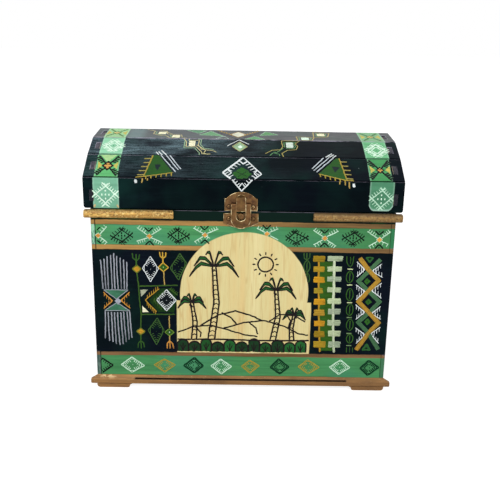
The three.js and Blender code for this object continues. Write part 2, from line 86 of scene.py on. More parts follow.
def shade(colour, factor):
    """The same colour, lighter or darker."""
    return tuple(min(1.0, part * factor) for part in light(colour)[:3]) + (1.0,)


# Shader trees


class Wire:
    """One output of a shader node, on which arithmetic adds Math nodes."""

    def __init__(self, finish, socket):
        self.finish = finish
        self.socket = socket

    def math(self, operation, *operands):
        return self.finish.add("ShaderNodeMath", {"operation": operation}, operands)

    def __add__(self, other):
        return self.math("ADD", self, other)

    def __sub__(self, other):
        return self.math("SUBTRACT", self, other)

    def __rsub__(self, other):
        return self.math("SUBTRACT", other, self)

    def __mul__(self, other):
        return self.math("MULTIPLY", self, other)

    def __truediv__(self, other):
        return self.math("DIVIDE", self, other)

    def __pow__(self, other):
        return self.math("POWER", self, other)

    def least(self, other):
        return self.math("MINIMUM", self, other)

    def most(self, other):
        return self.math("MAXIMUM", self, other)

    def size(self):
        return self.math("ABSOLUTE", self)


class Graph:
    """An emptied tree of nodes, to which nodes are added by type."""

    def __init__(self, tree):
        self.tree = tree
        tree.nodes.clear()

    def add(self, kind, settings=None, values=None, output=0):
        """A node of that type, with its settings and then the values or wires of its sockets."""
        node = self.tree.nodes.new(kind)
        for name, value in (settings or {}).items():
            setattr(node, name, value)
        given = values.items() if isinstance(values, dict) else enumerate(values or ())
        for name, value in given:
            if isinstance(value, Wire):
                self.tree.links.new(value.socket, node.inputs[name])
            else:
                node.inputs[name].default_value = value
        return Wire(self, node.outputs[output]) if node.outputs else node


class Finish(Graph):
    """A material in the making, whose nodes feed its shader."""

    def __init__(self, name, gloss):
        self.material = bpy.data.materials.new(name)
        self.material.use_nodes = True
        super().__init__(self.material.node_tree)
        self.shader = self.tree.nodes.new("ShaderNodeBsdfPrincipled")
        self.shader.inputs["Specular IOR Level"].default_value = gloss
        output = self.tree.nodes.new("ShaderNodeOutputMaterial")
        self.tree.links.new(self.shader.outputs[0], output.inputs[0])
        self.place = self.add("ShaderNodeTexCoord", output="Object")

    def ready(self, colour, roughness, height, depth, metallic=None):
        """The material, whose height from 0 to 1 stands for that depth in millimetres."""
        relief = {"Strength": 1.0, "Distance": depth * MM, "Height": height}
        normal = self.add("ShaderNodeBump", values=relief)
        feeds = {"Base Color": colour, "Roughness": roughness, "Normal": normal, "Metallic": metallic}
        for socket, wire in feeds.items():
            if wire is not None:
                self.tree.links.new(wire.socket, self.shader.inputs[socket])
        return self.material

    def axes(self):
        """The three Object coordinates in millimetres."""
        node = self.add("ShaderNodeSeparateXYZ", values=[self.place]).socket.node
        return [Wire(self, output) / MM for output in node.outputs]

    def noise(self, scale, stretch=(1.0, 1.0, 1.0), detail=3.0, shift=0.0):
        """Noise from 0 to 1; scale counts its lumps in a metre, and stretch its share on each axis."""
        moved = self.add(
            "ShaderNodeVectorMath", {"operation": "MULTIPLY_ADD"},
            [self.place, stretch, (shift, shift, shift)],
        )
        values = {"Vector": moved, "Scale": scale, "Detail": detail, "Roughness": NOISE_ROUGHNESS}
        return self.add("ShaderNodeTexNoise", values=values)

    def sway(self, reach, *place, **habits):
        """Noise about 0 that spans about that reach."""
        return (self.noise(*place, **habits) - 0.5) * reach

    def cells(self, scale, output="Distance"):
        values = {"Vector": self.place, "Scale": scale}
        return self.add("ShaderNodeTexVoronoi", values=values, output=output)

    def attribute(self, name, output="Fac"):
        return self.add("ShaderNodeAttribute", {"attribute_name": name}, output=output)

    def ramp(self, value, low, high):
        """0 below low, 1 above high and a straight slope between them."""
        return self.add("ShaderNodeMapRange", values=[value, low, high, 0.0, 1.0])

    def past(self, value, level, soft=0.3):
        """0 below a level and 1 above it, with a soft edge."""
        return self.ramp(value, level - soft, level + soft)

    def mix(self, factor, first, second, blend="MIX"):
        settings = {"data_type": "RGBA", "blend_type": blend}
        values = {0: factor, 6: light(first), 7: light(second)}
        return self.add("ShaderNodeMix", settings, values, output=2)


# The faces on which the paint lies


class Face:
    """A flat painted face, on which a place is so many millimetres across, up and out."""

    def __init__(self, origin, across, up):
        self.origin = Vector(origin)
        self.across = Vector(across)
        self.up = Vector(up)
        self.out = self.across.cross(self.up)

    def at(self, across, up, lift=0.0):
        return self.origin + (self.across * across + self.up * up + self.out * lift) * MM


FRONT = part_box("front_panel")[0].y
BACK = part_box("back_panel")[1].y
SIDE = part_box("right_panel")[1].x
LID_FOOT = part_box("lid_front_board")[0].z
LID_BOARD_TOP = LID_FOOT + 30.1 * MM
SLAT_WIDTH = 34.5
LOW_ANGLE = math.radians(24.7)
HIGH_ANGLE = math.radians(15.9)


def slat_face(y, z, angle):
    return Face((0, y, z), (1, 0, 0), (0, math.cos(angle), math.sin(angle)))


front_face = Face((0, FRONT, 0), (1, 0, 0), (0, 0, 1))
back_face = Face((0, BACK, 0), (-1, 0, 0), (0, 0, 1))
left_face = Face((-SIDE, 0, 0), (0, -1, 0), (0, 0, 1))
right_face = Face((SIDE, 0, 0), (0, 1, 0), (0, 0, 1))
board_face = Face((0, FRONT, LID_FOOT), (1, 0, 0), (0, 0, 1))
low_face = slat_face(FRONT, LID_BOARD_TOP, LOW_ANGLE)
high_start = low_face.at(0, SLAT_WIDTH)
high_face = slat_face(high_start.y, high_start.z, HIGH_ANGLE)
top_start = high_face.at(0, SLAT_WIDTH)
top_face = slat_face(top_start.y, top_start.z, 0)
TOP_WIDTH = (-2 * top_start.y + FRONT + BACK) / MM


def seen_from_behind(face):
    """The same face on the other half of the lid."""
    x, y, z = face.origin
    return Face((x, FRONT + BACK - y, z), (-1, 0, 0), (0, -face.up.y, face.up.z))


back_board_face = seen_from_behind(board_face)
back_low_face = seen_from_behind(low_face)
back_high_face = seen_from_behind(high_face)


# Objects, meshes, and trees of nodes that draw along chains of edges


def placed(name, data):
    """A new object in the scene's own collection."""
    thing = bpy.data.objects.new(name, data)
    bpy.context.scene.collection.objects.link(thing)
    return thing


def mesh_from(work, name):
    """A plain mesh from a shape that was being edited."""
    mesh = bpy.data.meshes.new(name)
    work.to_mesh(mesh)
    work.free()
    return mesh


def merged_copy(node):
    """A CAD node's shape for editing, with the triangles of its flat faces joined."""
    work = bmesh.new()
    work.from_mesh(frame["nodes"][node].data)
    bmesh.ops.remove_doubles(work, verts=work.verts, dist=MM / 1000)
    bmesh.ops.dissolve_limit(work, angle_limit=FLAT, verts=work.verts, edges=work.edges)
    return work


def chain_tree(name, **others):
    """A new tree of nodes: its graph, the chains it is given as curves, and its other named inputs."""
    tree = bpy.data.node_groups.new(name, "GeometryNodeTree")
    graph = Graph(tree)
    kinds = {"Geometry": "Geometry", **others}
    for socket, kind in kinds.items():
        tree.interface.new_socket(name=socket, in_out="INPUT", socket_type=f"NodeSocket{kind}")
    tree.interface.new_socket(name="Geometry", in_out="OUTPUT", socket_type="NodeSocketGeometry")
    given = graph.add("NodeGroupInput").socket.node
    edges, *inputs = (Wire(graph, given.outputs[socket]) for socket in kinds)
    return graph, graph.add("GeometryNodeMeshToCurve", values={"Mesh": edges}), *inputs


def ring_curve(graph, corners, radius):
    settings = {"mode": "RADIUS"}
    return graph.add("GeometryNodeCurvePrimitiveCircle", settings, {"Resolution": corners, "Radius": radius})


def swept(graph, chains, ring, material, **values):
    """Ends a tree: the ring swept along the chains, as smooth real faces of that material."""
    wires = graph.add("GeometryNodeCurveToMesh", values={
        "Curve": chains, "Profile Curve": ring, "Fill Caps": True, **values,
    })
    for kind in ("GeometryNodeSetShadeSmooth", "GeometryNodeRealizeInstances"):
        wires = graph.add(kind, values={"Geometry": wires})
    wires = graph.add("GeometryNodeSetMaterial", values={"Geometry": wires, "Material": material})
    graph.add("NodeGroupOutput", values={"Geometry": wires})
    return graph.tree


def drawn_by(tree, chains, draft_name, name, **inputs):
    """The plain piece that a tree of nodes makes of chains of edges, with its faces outward."""
    draft = placed(draft_name, mesh_from(chains, draft_name))
    maker = draft.modifiers.new("maker", "NODES")
    maker.node_group = tree
    for item in tree.interface.items_tree:
        if item.in_out == "INPUT" and item.name in inputs:
            maker[item.identifier] = inputs[item.name]
    bpy.context.view_layer.update()
    seen = draft.evaluated_get(bpy.context.evaluated_depsgraph_get())
    mesh = bpy.data.meshes.new_from_object(seen)
    draft.modifiers.remove(maker)
    bpy.data.objects.remove(draft)
    work = bmesh.new()
    work.from_mesh(mesh)
    bmesh.ops.recalc_face_normals(work, faces=work.faces)
    work.to_mesh(mesh)
    work.free()
    return placed(name, mesh)


# Rims that follow the outline of a stamped plate

RIM_CORNERS = 8
RIM_SINK = 0.7
FORWARD = 0.95
EDGE_ON = 0.35


def rim_tree():
    """The tree of nodes that lays a round wire along each chain of edges."""
    graph, chains, radius, metal = chain_tree("plate_rims", Radius="Float", Metal="Material")
    return swept(graph, chains, ring_curve(graph, RIM_CORNERS, radius), metal)


def front_outline(node, sink):
    """The edges round the forward faces of a plate, set back a little into it."""
    plate = merged_copy(node)
    chains = bmesh.new()
    copies = {}
    for edge in plate.edges:
        facing = sorted(-face.normal.y for face in edge.link_faces)
        if len(facing) == 2 and facing[1] > FORWARD and abs(facing[0]) < EDGE_ON:
            for vertex in edge.verts:
                if vertex not in copies:
                    copies[vertex] = chains.verts.new(vertex.co + Vector((0, sink, 0)))
            chains.edges.new([copies[vertex] for vertex in edge.verts])
    plate.free()
    return chains


# Brush work

# A stroke is a chain of points on a face, each with its half width, its colour and its face's normal.
# One tree of nodes draws all chains of a brush as low rounded ridges of paint.

STROKE_STEP = 2.0
# A stroke's round end: its share of the width, the most of the stroke it takes, and the gap after it
END_REACH = 0.4
END_MOST = 0.3
END_GAP = 0.3
WIDTH_SLIPS = (0.92, 1.08)
PRESS_SLIPS = (0.88, 1.1)
DOT_HALF = 0.3
DOT_SPREAD = 1.25
STROKE_LIFT = 0.06
STROKE_SHARE = 0.11
RIDGE_CORNERS = 6
FILL_LIFT = 0.03
FILL_RISE = 0.001
FILL_SINK = 0.03
FILL_STEP = 1.6


def blend(first, second, share):
    """The colour that lies that share of the way from the first to the second."""
    return tuple(a + (b - a) * share for a, b in zip(first, second))


def toward(start, end, share):
    """The place that lies that share of the way from start to end."""
    return (start[0] + (end[0] - start[0]) * share, start[1] + (end[1] - start[1]) * share)


def gap(start, end):
    return math.hypot(end[0] - start[0], end[1] - start[1])


def walk(path, distance):
    """The place at that distance along a chain of points."""
    for start, end in zip(path, path[1:]):
        step = gap(start, end)
        if distance <= step:
            return toward(start, end, distance / step)
        distance -= step
    return path[-1]


def length_of(path):
    return sum(gap(start, end) for start, end in zip(path, path[1:]))


def arc(centre, radii, first, last, steps):
    """Points on an oval from one angle to another, in degrees from the right, anticlockwise."""
    turns = (math.radians(first + (last - first) * step / steps) for step in range(steps + 1))
    return [(centre[0] + radii[0] * math.cos(turn), centre[1] + radii[1] * math.sin(turn)) for turn in turns]


def sides(corners):
    """Each corner of a closed shape with the next one."""
    return list(zip(corners, corners[1:] + corners[:1]))


def lozenge(centre, across, up):
    """The left, top, right and bottom corners of a lozenge."""
    x, y = centre
    return [(x - across, y), (x, y + up), (x + across, y), (x, y - up)]


class Brush:
    """Gathers the strokes and the filled shapes that are painted on one body."""

    def __init__(self, name, body, seed):
        self.name = name
        self.body = body
        self.dice = random.Random(seed)
        self.chains = bmesh.new()
        layers = self.chains.verts.layers
        self.half_width = layers.float.new("half_width")
        self.out = layers.float_vector.new("out")
        self.tint = layers.float_color.new("tint")
        self.seed = layers.float.new("seed")
        self.fills = bmesh.new()
        self.fill_tint = self.fills.verts.layers.float_color.new("tint")
        self.fill_count = 0

    def on(self, face, ground):
        """Turns to a face, whose own colour shows through where the brush runs dry."""
        self.face = face
        self.ground = light(ground)
        return self

    def thinness(self, colour):
        """How much of the ground shows through: little through a dark paint on a pale ground."""
        return min(1.0, sum(colour[:3]) / sum(self.ground[:3]))

    def line(self, path, width, colour, dry=0.1, tip=0.55, shake=0.1):
        """One stroke along a chain of points."""
        colour = light(colour)
        whole = length_of(path)
        round_end = min(END_REACH * width, whole * END_MOST)
        places = [0.0, round_end]
        mark = 0.0
        for start, end in zip(path, path[1:]):
            reach = gap(start, end)
            steps = max(1, round(reach / STROKE_STEP))
            run = (mark + reach * step / steps for step in range(1, steps + 1))
            places += [
                place for place in run if round_end + END_GAP < place < whole - round_end - END_GAP
            ]
            mark += reach
        places += [whole - round_end, whole]
        seed = self.dice.random()
        dry *= self.thinness(colour)
        fade = self.dice.uniform(0.0, 2 * dry)
        swell = self.dice.uniform(*WIDTH_SLIPS)
        previous = None
        for order, distance in enumerate(places):
            across, up = walk(path, distance)
            at_end = order in (0, len(places) - 1)
            wander = 0.0 if at_end else shake
            vertex = self.chains.verts.new(self.face.at(
                across + self.dice.gauss(0, wander), up + self.dice.gauss(0, wander), STROKE_LIFT,
            ))
            share = tip if at_end else self.dice.uniform(*PRESS_SLIPS)
            vertex[self.half_width] = width / 2 * share * swell * MM
            vertex[self.out] = self.face.out
            paleness = min(1.0, fade * distance / whole + self.dice.uniform(0, dry))
            vertex[self.tint] = blend(colour, self.ground, paleness)
            vertex[self.seed] = seed
            if previous:
                self.chains.edges.new((previous, vertex))
            previous = vertex

    def lines(self, paths, width, colour, **habits):
        """Several strokes of one kind."""
        for path in paths:
            self.line(path, width, colour, **habits)

    def outline(self, corners, width, colour):
        """A stroke for each side of a closed shape."""
        self.lines(sides(corners), width, colour)

    def ink(self, path, width, **habits):
        """A stroke of the fine drawing on the bare wood."""
        self.line(path, width, LINE_INK, dry=0.02, **habits)

    def dash(self, place, half, width, colour, **habits):
        """A short level stroke."""
        x, y = place
        self.line([(x - half, y), (x + half, y)], width, colour, **habits)

    def dot(self, place, size, colour):
        self.dash(place, size * DOT_HALF, size * DOT_SPREAD, colour, tip=0.7, shake=0.0)

    def fill(self, outline, colour, dry=0.04, wobble=0.15):
        """A filled shape with a slightly uneven outline."""
        colour = light(colour)
        turning = sum(a[0] * b[1] - a[1] * b[0] for a, b in sides(outline))
        ring = []
        for start, end in sides(outline if turning > 0 else outline[::-1]):
            steps = max(1, round(gap(start, end) / FILL_STEP))
            for step in range(steps):
                x, y = toward(start, end, step / steps)
                ring.append((x + self.dice.gauss(0, wobble), y + self.dice.gauss(0, wobble)))
        tint = blend(colour, self.ground, self.dice.uniform(0, dry) * self.thinness(colour))
        layers = []
        self.fill_count += 1
        for lift in (FILL_LIFT + FILL_RISE * self.fill_count, -FILL_SINK):
            layer = [self.fills.verts.new(self.face.at(x, y, lift)) for x, y in ring]
            for vertex in layer:
                vertex[self.fill_tint] = tint
            layers.append(layer)
        top, low = layers
        self.fills.faces.new(top)
        self.fills.faces.new(list(reversed(low)))
        for (foot, head), (next_foot, next_head) in sides(list(zip(low, top))):
            self.fills.faces.new((foot, next_foot, next_head, head))

    def done(self, tree, stroke_material, fill_material):
        """Turns what was gathered into two plain pieces that ride on the body."""
        bmesh.ops.triangulate(self.fills, faces=self.fills.faces)
        name = f"{self.name}_fills"
        piece = placed(name, mesh_from(self.fills, name))
        piece.data.materials.append(fill_material)
        self.settle(piece)
        self.settle(drawn_by(
            tree, self.chains, f"{self.name}_chains", f"{self.name}_strokes",
            Thickness=STROKE_SHARE, Paint=stroke_material,
        ))

    def settle(self, piece):
        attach(piece, self.body)


def stroke_tree():
    """The tree of nodes that draws every chain of points as a low ridge of paint."""
    graph, chains, thickness, paint = chain_tree("brush_strokes", Thickness="Float", Paint="Material")

    def stored(name, kind):
        return graph.add(
            "GeometryNodeInputNamedAttribute", {"data_type": kind}, {"Name": name}, output="Attribute",
        )

    def store(geometry, name, value):
        return graph.add(
            "GeometryNodeStoreNamedAttribute", {"data_type": "FLOAT", "domain": "POINT"},
            {"Geometry": geometry, "Name": name, "Value": value},
        )

    chains = graph.add(
        "GeometryNodeSetCurveNormal", {"mode": "FREE"},
        {"Curve": chains, "Normal": stored("out", "FLOAT_VECTOR")},
    )
    chains = store(chains, "along", graph.add("GeometryNodeSplineParameter", output="Length"))
    spot = graph.add("GeometryNodeInputPosition")
    sideways = graph.add("ShaderNodeSeparateXYZ", values=[spot], output="Y")
    ring = store(ring_curve(graph, RIDGE_CORNERS, 1.0), "across", sideways)
    flat = graph.add("ShaderNodeCombineXYZ", values={"X": thickness, "Y": 1.0, "Z": 1.0})
    ring = graph.add("GeometryNodeTransform", values={"Geometry": ring, "Scale": flat})
    return swept(graph, chains, ring, paint, Scale=stored("half_width", "FLOAT"))


# Sizes and colours that a user would change


def length_setting(name, description, usual, least, most):
    """A length that a user may change, with its default and its bounds in millimetres."""
    return FloatProperty(
        name=name, description=description,
        default=usual * MM, min=least * MM, max=most * MM, unit="LENGTH",
    )


def paint_setting(name, description, code):
    """A colour that a user may change."""
    return FloatVectorProperty(
        name=name, description=description, subtype="COLOR", size=4, default=light(code), min=0, max=1,
    )


class ChestSizes(PropertyGroup):
    board_edge: length_setting("Board edge", "Wear on the edges of the boards", 0.35, 0.1, 1.0)
    strip_edge: length_setting("Strip edge", "Rounding of the rails, moulding and feet", 0.4, 0.1, 1.0)
    metal_edge: length_setting("Metal edge", "Rounding of the latch and the hinges", 0.22, 0.05, 0.4)
    rim_radius: length_setting("Latch rim", "Thickness of the rubbed rims on the latch", 0.34, 0.1, 0.6)
    brush_seed: IntProperty(name="Brush seed", description="Chooses other slips of the brush", default=5)


class ChestPaints(PropertyGroup):
    night: paint_setting("Night", "The near-black paint of the lid and the panels", "050E13")
    navy: paint_setting("Navy", "The bluer places of the near-black paint", "080E18")
    deep_green: paint_setting("Deep green", "The green that shows through the near-black paint", "0C2422")
    band_green: paint_setting("Band green", "The paint of the two bands on the body", "488A57")
    strip_gold: paint_setting("Strip gold", "The painted strips beside the bands", "BD8B50")
    rail_gold: paint_setting("Rail gold", "The glittering paint of the rails", "D2A85A")
    wood: paint_setting("Bare wood", "The plywood where it isn't painted", "CBBE89")
    brass: paint_setting("Aged brass", "The latch and the hinges", "7A5A38")


# Pieces over the CAD nodes


SHARP = math.radians(24)
SEAM_HALF = 0.17 * MM
EDGE_STEPS = 2
FACING = 0.9
SIDEWAYS = 0.5


def eased_copy(node, name, edge, shortest=0.6 * MM, grimy_foot=False, swell=0.0):
    """A copy of a CAD node as one mesh whose long edges are rounded, with each face's wear and painted
    light.

    A slat of the lid has painted shade instead of wear on its lower edges. The slats behind swell
    along their own slope, so that no light comes through their seams and slots.
    """
    work = merged_copy(node)
    if swell:
        broad = max(work.faces, key=lambda face: face.calc_area()).normal.copy()
        moves = [
            (face.verts[:], face.normal * swell) for face in work.faces
            if abs(face.normal.x) < SIDEWAYS and abs(face.normal.dot(broad)) < FACING
        ]
        for corners, move in moves:
            bmesh.ops.translate(work, verts=corners, vec=move)
    wear_and_painted_light = work.faces.layers.float.new("wear_and_painted_light")
    ridges = [
        ridge for ridge in work.edges
        if ridge.is_manifold and ridge.calc_length() > shortest and ridge.calc_face_angle() > SHARP
    ]
    rounded = bmesh.ops.bevel(
        work, geom=ridges, offset=edge, segments=EDGE_STEPS, profile=0.5,
        affect="EDGES", clamp_overlap=True,
    )["faces"]
    low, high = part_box(node)
    middle = (low.z + high.z) / 2
    for face in rounded:
        # A slat's lower faces get painted shade; every other rounded face gets wear with a painted
        # highlight.
        grimy = grimy_foot and face.calc_center_median().z < middle
        face[wear_and_painted_light] = -1.0 if grimy else 1.0
        face.smooth = True
    return placed(name, mesh_from(work, name))


def dress(node, name, body, slot_name, edge, materials, inward=None, **options):
    """An eased copy of a node, bare on the side that faces inward, which stands for that node."""
    piece = eased_copy(node, name, edge, **options)
    for material in materials:
        piece.data.materials.append(material)
    if inward is not None:
        for face in piece.data.polygons:
            if face.normal.dot(inward) > FACING:
                face.material_index = 1
    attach(piece, body)
    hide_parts(node)
    return piece


# Materials


GROUND_LEVELS = {
    "green_low": (12.6, 34.3),
    "gold_low": (34.3, 38.1),
    "panel": (38.1, 146.2),
    "gold_middle": (146.2, 150.9),
    "green_high": (150.9, 170.9),
    "gold_high": (170.9, 175.5),
}
ARCH_MIDDLE = (2.0, 102.9)
ARCH_RADIUS = 62.3
ARCH_FOOT = 38.1
ARCH_STEP = 93.9
ARCH_FOOT_HALF = 65.75


def between(finish, value, low, high, soft=0.25):
    """1 from low to high, with slightly soft edges."""
    return finish.past(value, low, soft) * (1 - finish.past(value, high, soft))


def bare_wood_colour(finish, paints, grain=(1.0, 1.0, 0.06)):
    """Pale plywood with long figure along the axis on which grain is small."""
    figure = finish.noise(60, grain, shift=4.0)
    fine = finish.noise(900, grain, detail=2.0, shift=9.0)
    pores = finish.noise(2600, tuple(part if part < 1 else 0.8 for part in grain), detail=1.0, shift=2.0)
    warm = finish.mix(finish.ramp(figure, 0.5, 0.72) * 0.6, paints.wood, "D2AE72")
    pale = finish.mix((1 - finish.ramp(figure, 0.3, 0.46)) * 0.4, warm, "E6DCAC")
    streaked = finish.mix(finish.ramp(fine, 0.52, 0.8) * 0.4, pale, "C09A5C")
    return finish.mix(finish.ramp(pores, 0.66, 0.78) * 0.25, streaked, "A98250")


def night_colour(finish, paints, undercoat, shift=2.0):
    """Near-black green with navy places, a greener undercoat in patches, and small pale specks."""
    patches = finish.noise(20, shift=shift)
    strokes = finish.noise(420, (0.08, 1.0, 1.0), shift=5.0)
    navy = finish.noise(11, detail=1.0, shift=shift + 9.0)
    base = finish.mix(finish.ramp(navy, 0.48, 0.6), paints.night, paints.navy)
    base = finish.mix(finish.ramp(patches, 0.47, 0.66), base, undercoat)
    base = finish.mix(finish.ramp(strokes, 0.52, 0.8) * 0.3, base, "15262D")
    specks = finish.cells(120)
    chosen = finish.ramp(finish.cells(120, output="Color"), 0.64, 0.66)
    return finish.mix((1 - finish.ramp(specks, 0.04, 0.065)) * chosen * 0.7, base, "8FA0A0")


def edges_worn_lit_and_shaded(finish, colour, bare, amount=0.8):
    """The colour with its upper edges rubbed down to what lies under it, with a painted highlight, and its
    lower edges darkened as painted shade.
    """
    wear_and_painted_light = finish.attribute("wear_and_painted_light")
    # Upper edges rubbed pale: wear with a painted highlight.
    rubbed_and_highlit = wear_and_painted_light.most(0.0) * finish.ramp(finish.noise(90, shift=7.0), 0.36, 0.56) * amount
    colour = finish.mix(rubbed_and_highlit, colour, bare)
    # Lower edges darkened: painted shade.
    return finish.mix((0 - wear_and_painted_light).most(0.0) * 0.85, colour, "05070C")


BOARD = 4.0
SEAM = SIDE / MM - BOARD


def wall_paint(name, paints, arch):
    """The body's paint: its bands by their levels, and on the front the bare arch."""
    finish = Finish(name, 0.02)
    x, y, z = finish.axes()
    wobble = finish.sway(1.6, 28, shift=1.0) + finish.sway(0.7, 160, shift=3.0)
    level = z + wobble
    east = finish.ramp(x, -90.0, 120.0)
    strokes = finish.noise(300, (0.06, 0.06, 1.0), detail=4.0, shift=6.0)
    broad = finish.noise(110, (0.12, 0.12, 1.0), detail=2.0, shift=16.0)
    green = finish.mix(
        finish.ramp(strokes, 0.35, 0.7), shade(paints.band_green, 0.78), shade(paints.band_green, 1.2),
    )
    patch = finish.ramp(finish.noise(14, (1.0, 1.0, 1.6), detail=1.0, shift=8.0), 0.46, 0.62)
    green = finish.mix(patch * 0.55, green, "45896B")
    green = finish.mix(finish.ramp(broad, 0.6, 0.72) * 0.4, green, "5CA35F")
    # The middle and high gold strips darken toward the right: painted shade.
    bright = finish.mix(east, "B0884F", "775C3A")
    dull = finish.mix(east, "8C6D40", "5A462E")
    gold = finish.mix(finish.ramp(strokes, 0.35, 0.65), dull, bright)
    low_gold = finish.mix(finish.ramp(strokes, 0.35, 0.65), "64492E", "826144")
    colour = night_colour(finish, paints, shade(paints.deep_green, 0.62))
    # The high green band darkens toward the right: painted shade.
    green_shaded_right = finish.mix(east * 0.6, green, shade(paints.band_green, 0.55))
    low_green = finish.mix(0.2, green, shade(paints.band_green, 0.5))
    for band, tint in (
        ("green_low", low_green), ("gold_low", low_gold), ("gold_middle", gold),
        ("green_high", green_shaded_right), ("gold_high", gold),
    ):
        colour = finish.mix(between(finish, level, *GROUND_LEVELS[band]), colour, tint)
    for band in ("green_low", "gold_middle", "green_high", "gold_high"):
        edge = GROUND_LEVELS[band][0]
        thin = between(finish, level, edge - 0.35, edge + 0.35) * finish.ramp(broad, 0.45, 0.6)
        colour = finish.mix(thin * 0.55, colour, "3A3423")
    under_lid = finish.ramp(level, GROUND_LEVELS["gold_high"][1], GROUND_LEVELS["gold_high"][1] + 0.6)
    blotch = finish.ramp(finish.noise(30, (0.6, 1.0, 1.5), shift=21.0), 0.5, 0.68)
    colour = finish.mix(under_lid, colour, finish.mix(blotch, "0C1D18", "1B4A20"))
    foot = 1 - finish.ramp(level, GROUND_LEVELS["green_low"][0] - 0.3, GROUND_LEVELS["green_low"][0])
    colour = finish.mix(foot, colour, shade(paints.strip_gold, 0.5))
    on_face = finish.ramp(y.size(), -FRONT / MM - 0.9, -FRONT / MM - 0.6)
    finger = finish.ramp(x.size(), SEAM + 0.3, SEAM + 0.5) * on_face
    hatch = finish.ramp(finish.noise(520, (1.0, 1.0, 0.3), shift=23.0), 0.42, 0.58)
    right = finish.ramp(x, -10.0, 10.0)
    upper = finish.mix(right, finish.mix(hatch, "4A7862", "8FC0A2"), "2F6F48")
    lower = finish.mix(right, finish.mix(hatch, "3F5650", "5F766C"), "3E6B4E")
    for band, tint in (("green_high", upper), ("green_low", lower)):
        colour = finish.mix(finger * between(finish, level, *GROUND_LEVELS[band]), colour, tint)
    # Rubbed edges: wear with a painted highlight.
    wear_and_painted_light = edges_worn_lit_and_shaded(finish, colour, "66616E")
    seam = between(finish, x.size() + wobble * 0.12, SEAM - 0.45, SEAM + 0.4, 0.12) * on_face
    not_panel = 1 - between(finish, z, *GROUND_LEVELS["panel"])
    joint = between(finish, x.size(), SEAM - 0.8, SEAM + 0.8) * on_face
    colour = finish.mix(joint, wear_and_painted_light, colour)
    colour = finish.mix(seam * not_panel * (1 - right * 0.55), colour, "0A100E")
    if arch:
        side = x - ARCH_MIDDLE[0]
        rise = z - ARCH_MIDDLE[1]
        edge_wobble = finish.sway(1.8, 35, shift=12.0)
        reach = (side * side + rise * rise) ** 0.5 + edge_wobble
        in_circle = 1 - finish.past(reach, ARCH_RADIUS)
        straight = 1 - finish.past(side.size() + edge_wobble, ARCH_FOOT_HALF)
        low_part = straight * (1 - finish.past(z + edge_wobble, ARCH_STEP))
        bare = in_circle.most(low_part) * finish.past(level, ARCH_FOOT)
        wood = bare_wood_colour(finish, paints)
        rings = finish.noise(150, (1.0, 1.0, 0.035), detail=2.0, shift=51.0)
        line = 1 - finish.ramp((rings - 0.5).size(), 0.004, 0.02)
        wood = finish.mix(line * 0.4, wood, "B4905A")
        colour = finish.mix(bare, colour, wood)
    height = strokes * 0.6 + finish.noise(1500, (0.2, 0.2, 1.0), detail=2.0) * 0.4
    roughness = finish.ramp(finish.noise(60, shift=14.0), 0.2, 0.8) * 0.2 + 0.35
    return finish.ready(colour, roughness, height, 0.12)


def bare_plywood(paints, name="bare_plywood", corners=True):
    """The inside of the boards, along whose length the grain runs; paint has run into the walls' corners."""
    finish = Finish(name, 0.3)
    x, y, _ = finish.axes()
    colour = bare_wood_colour(finish, paints, (0.06, 1.0, 1.0))
    colour = finish.mix(finish.ramp(x.size(), SIDE / MM - 2.0, SIDE / MM - 1.9), colour, paints.night)
    if corners:
        joint = finish.ramp(y.size(), -FRONT / MM - 3.9, -FRONT / MM - 3.8)
        colour = finish.mix(joint, colour, "143020")
    grain = finish.noise(1200, (0.05, 1.0, 1.0))
    roughness = finish.ramp(grain, 0.2, 0.8) * 0.2 + 0.6
    return finish.ready(colour, roughness, grain, 0.15)


# How much painted shade darkens each of the lid's boards to the right: from x, to x, and the share
LID_PAINTED_SHADE = {"board": (-115.0, -60.0, 0.6), "low": (10.0, 50.0, 0.35), "high": (20.0, 60.0, 0.35)}


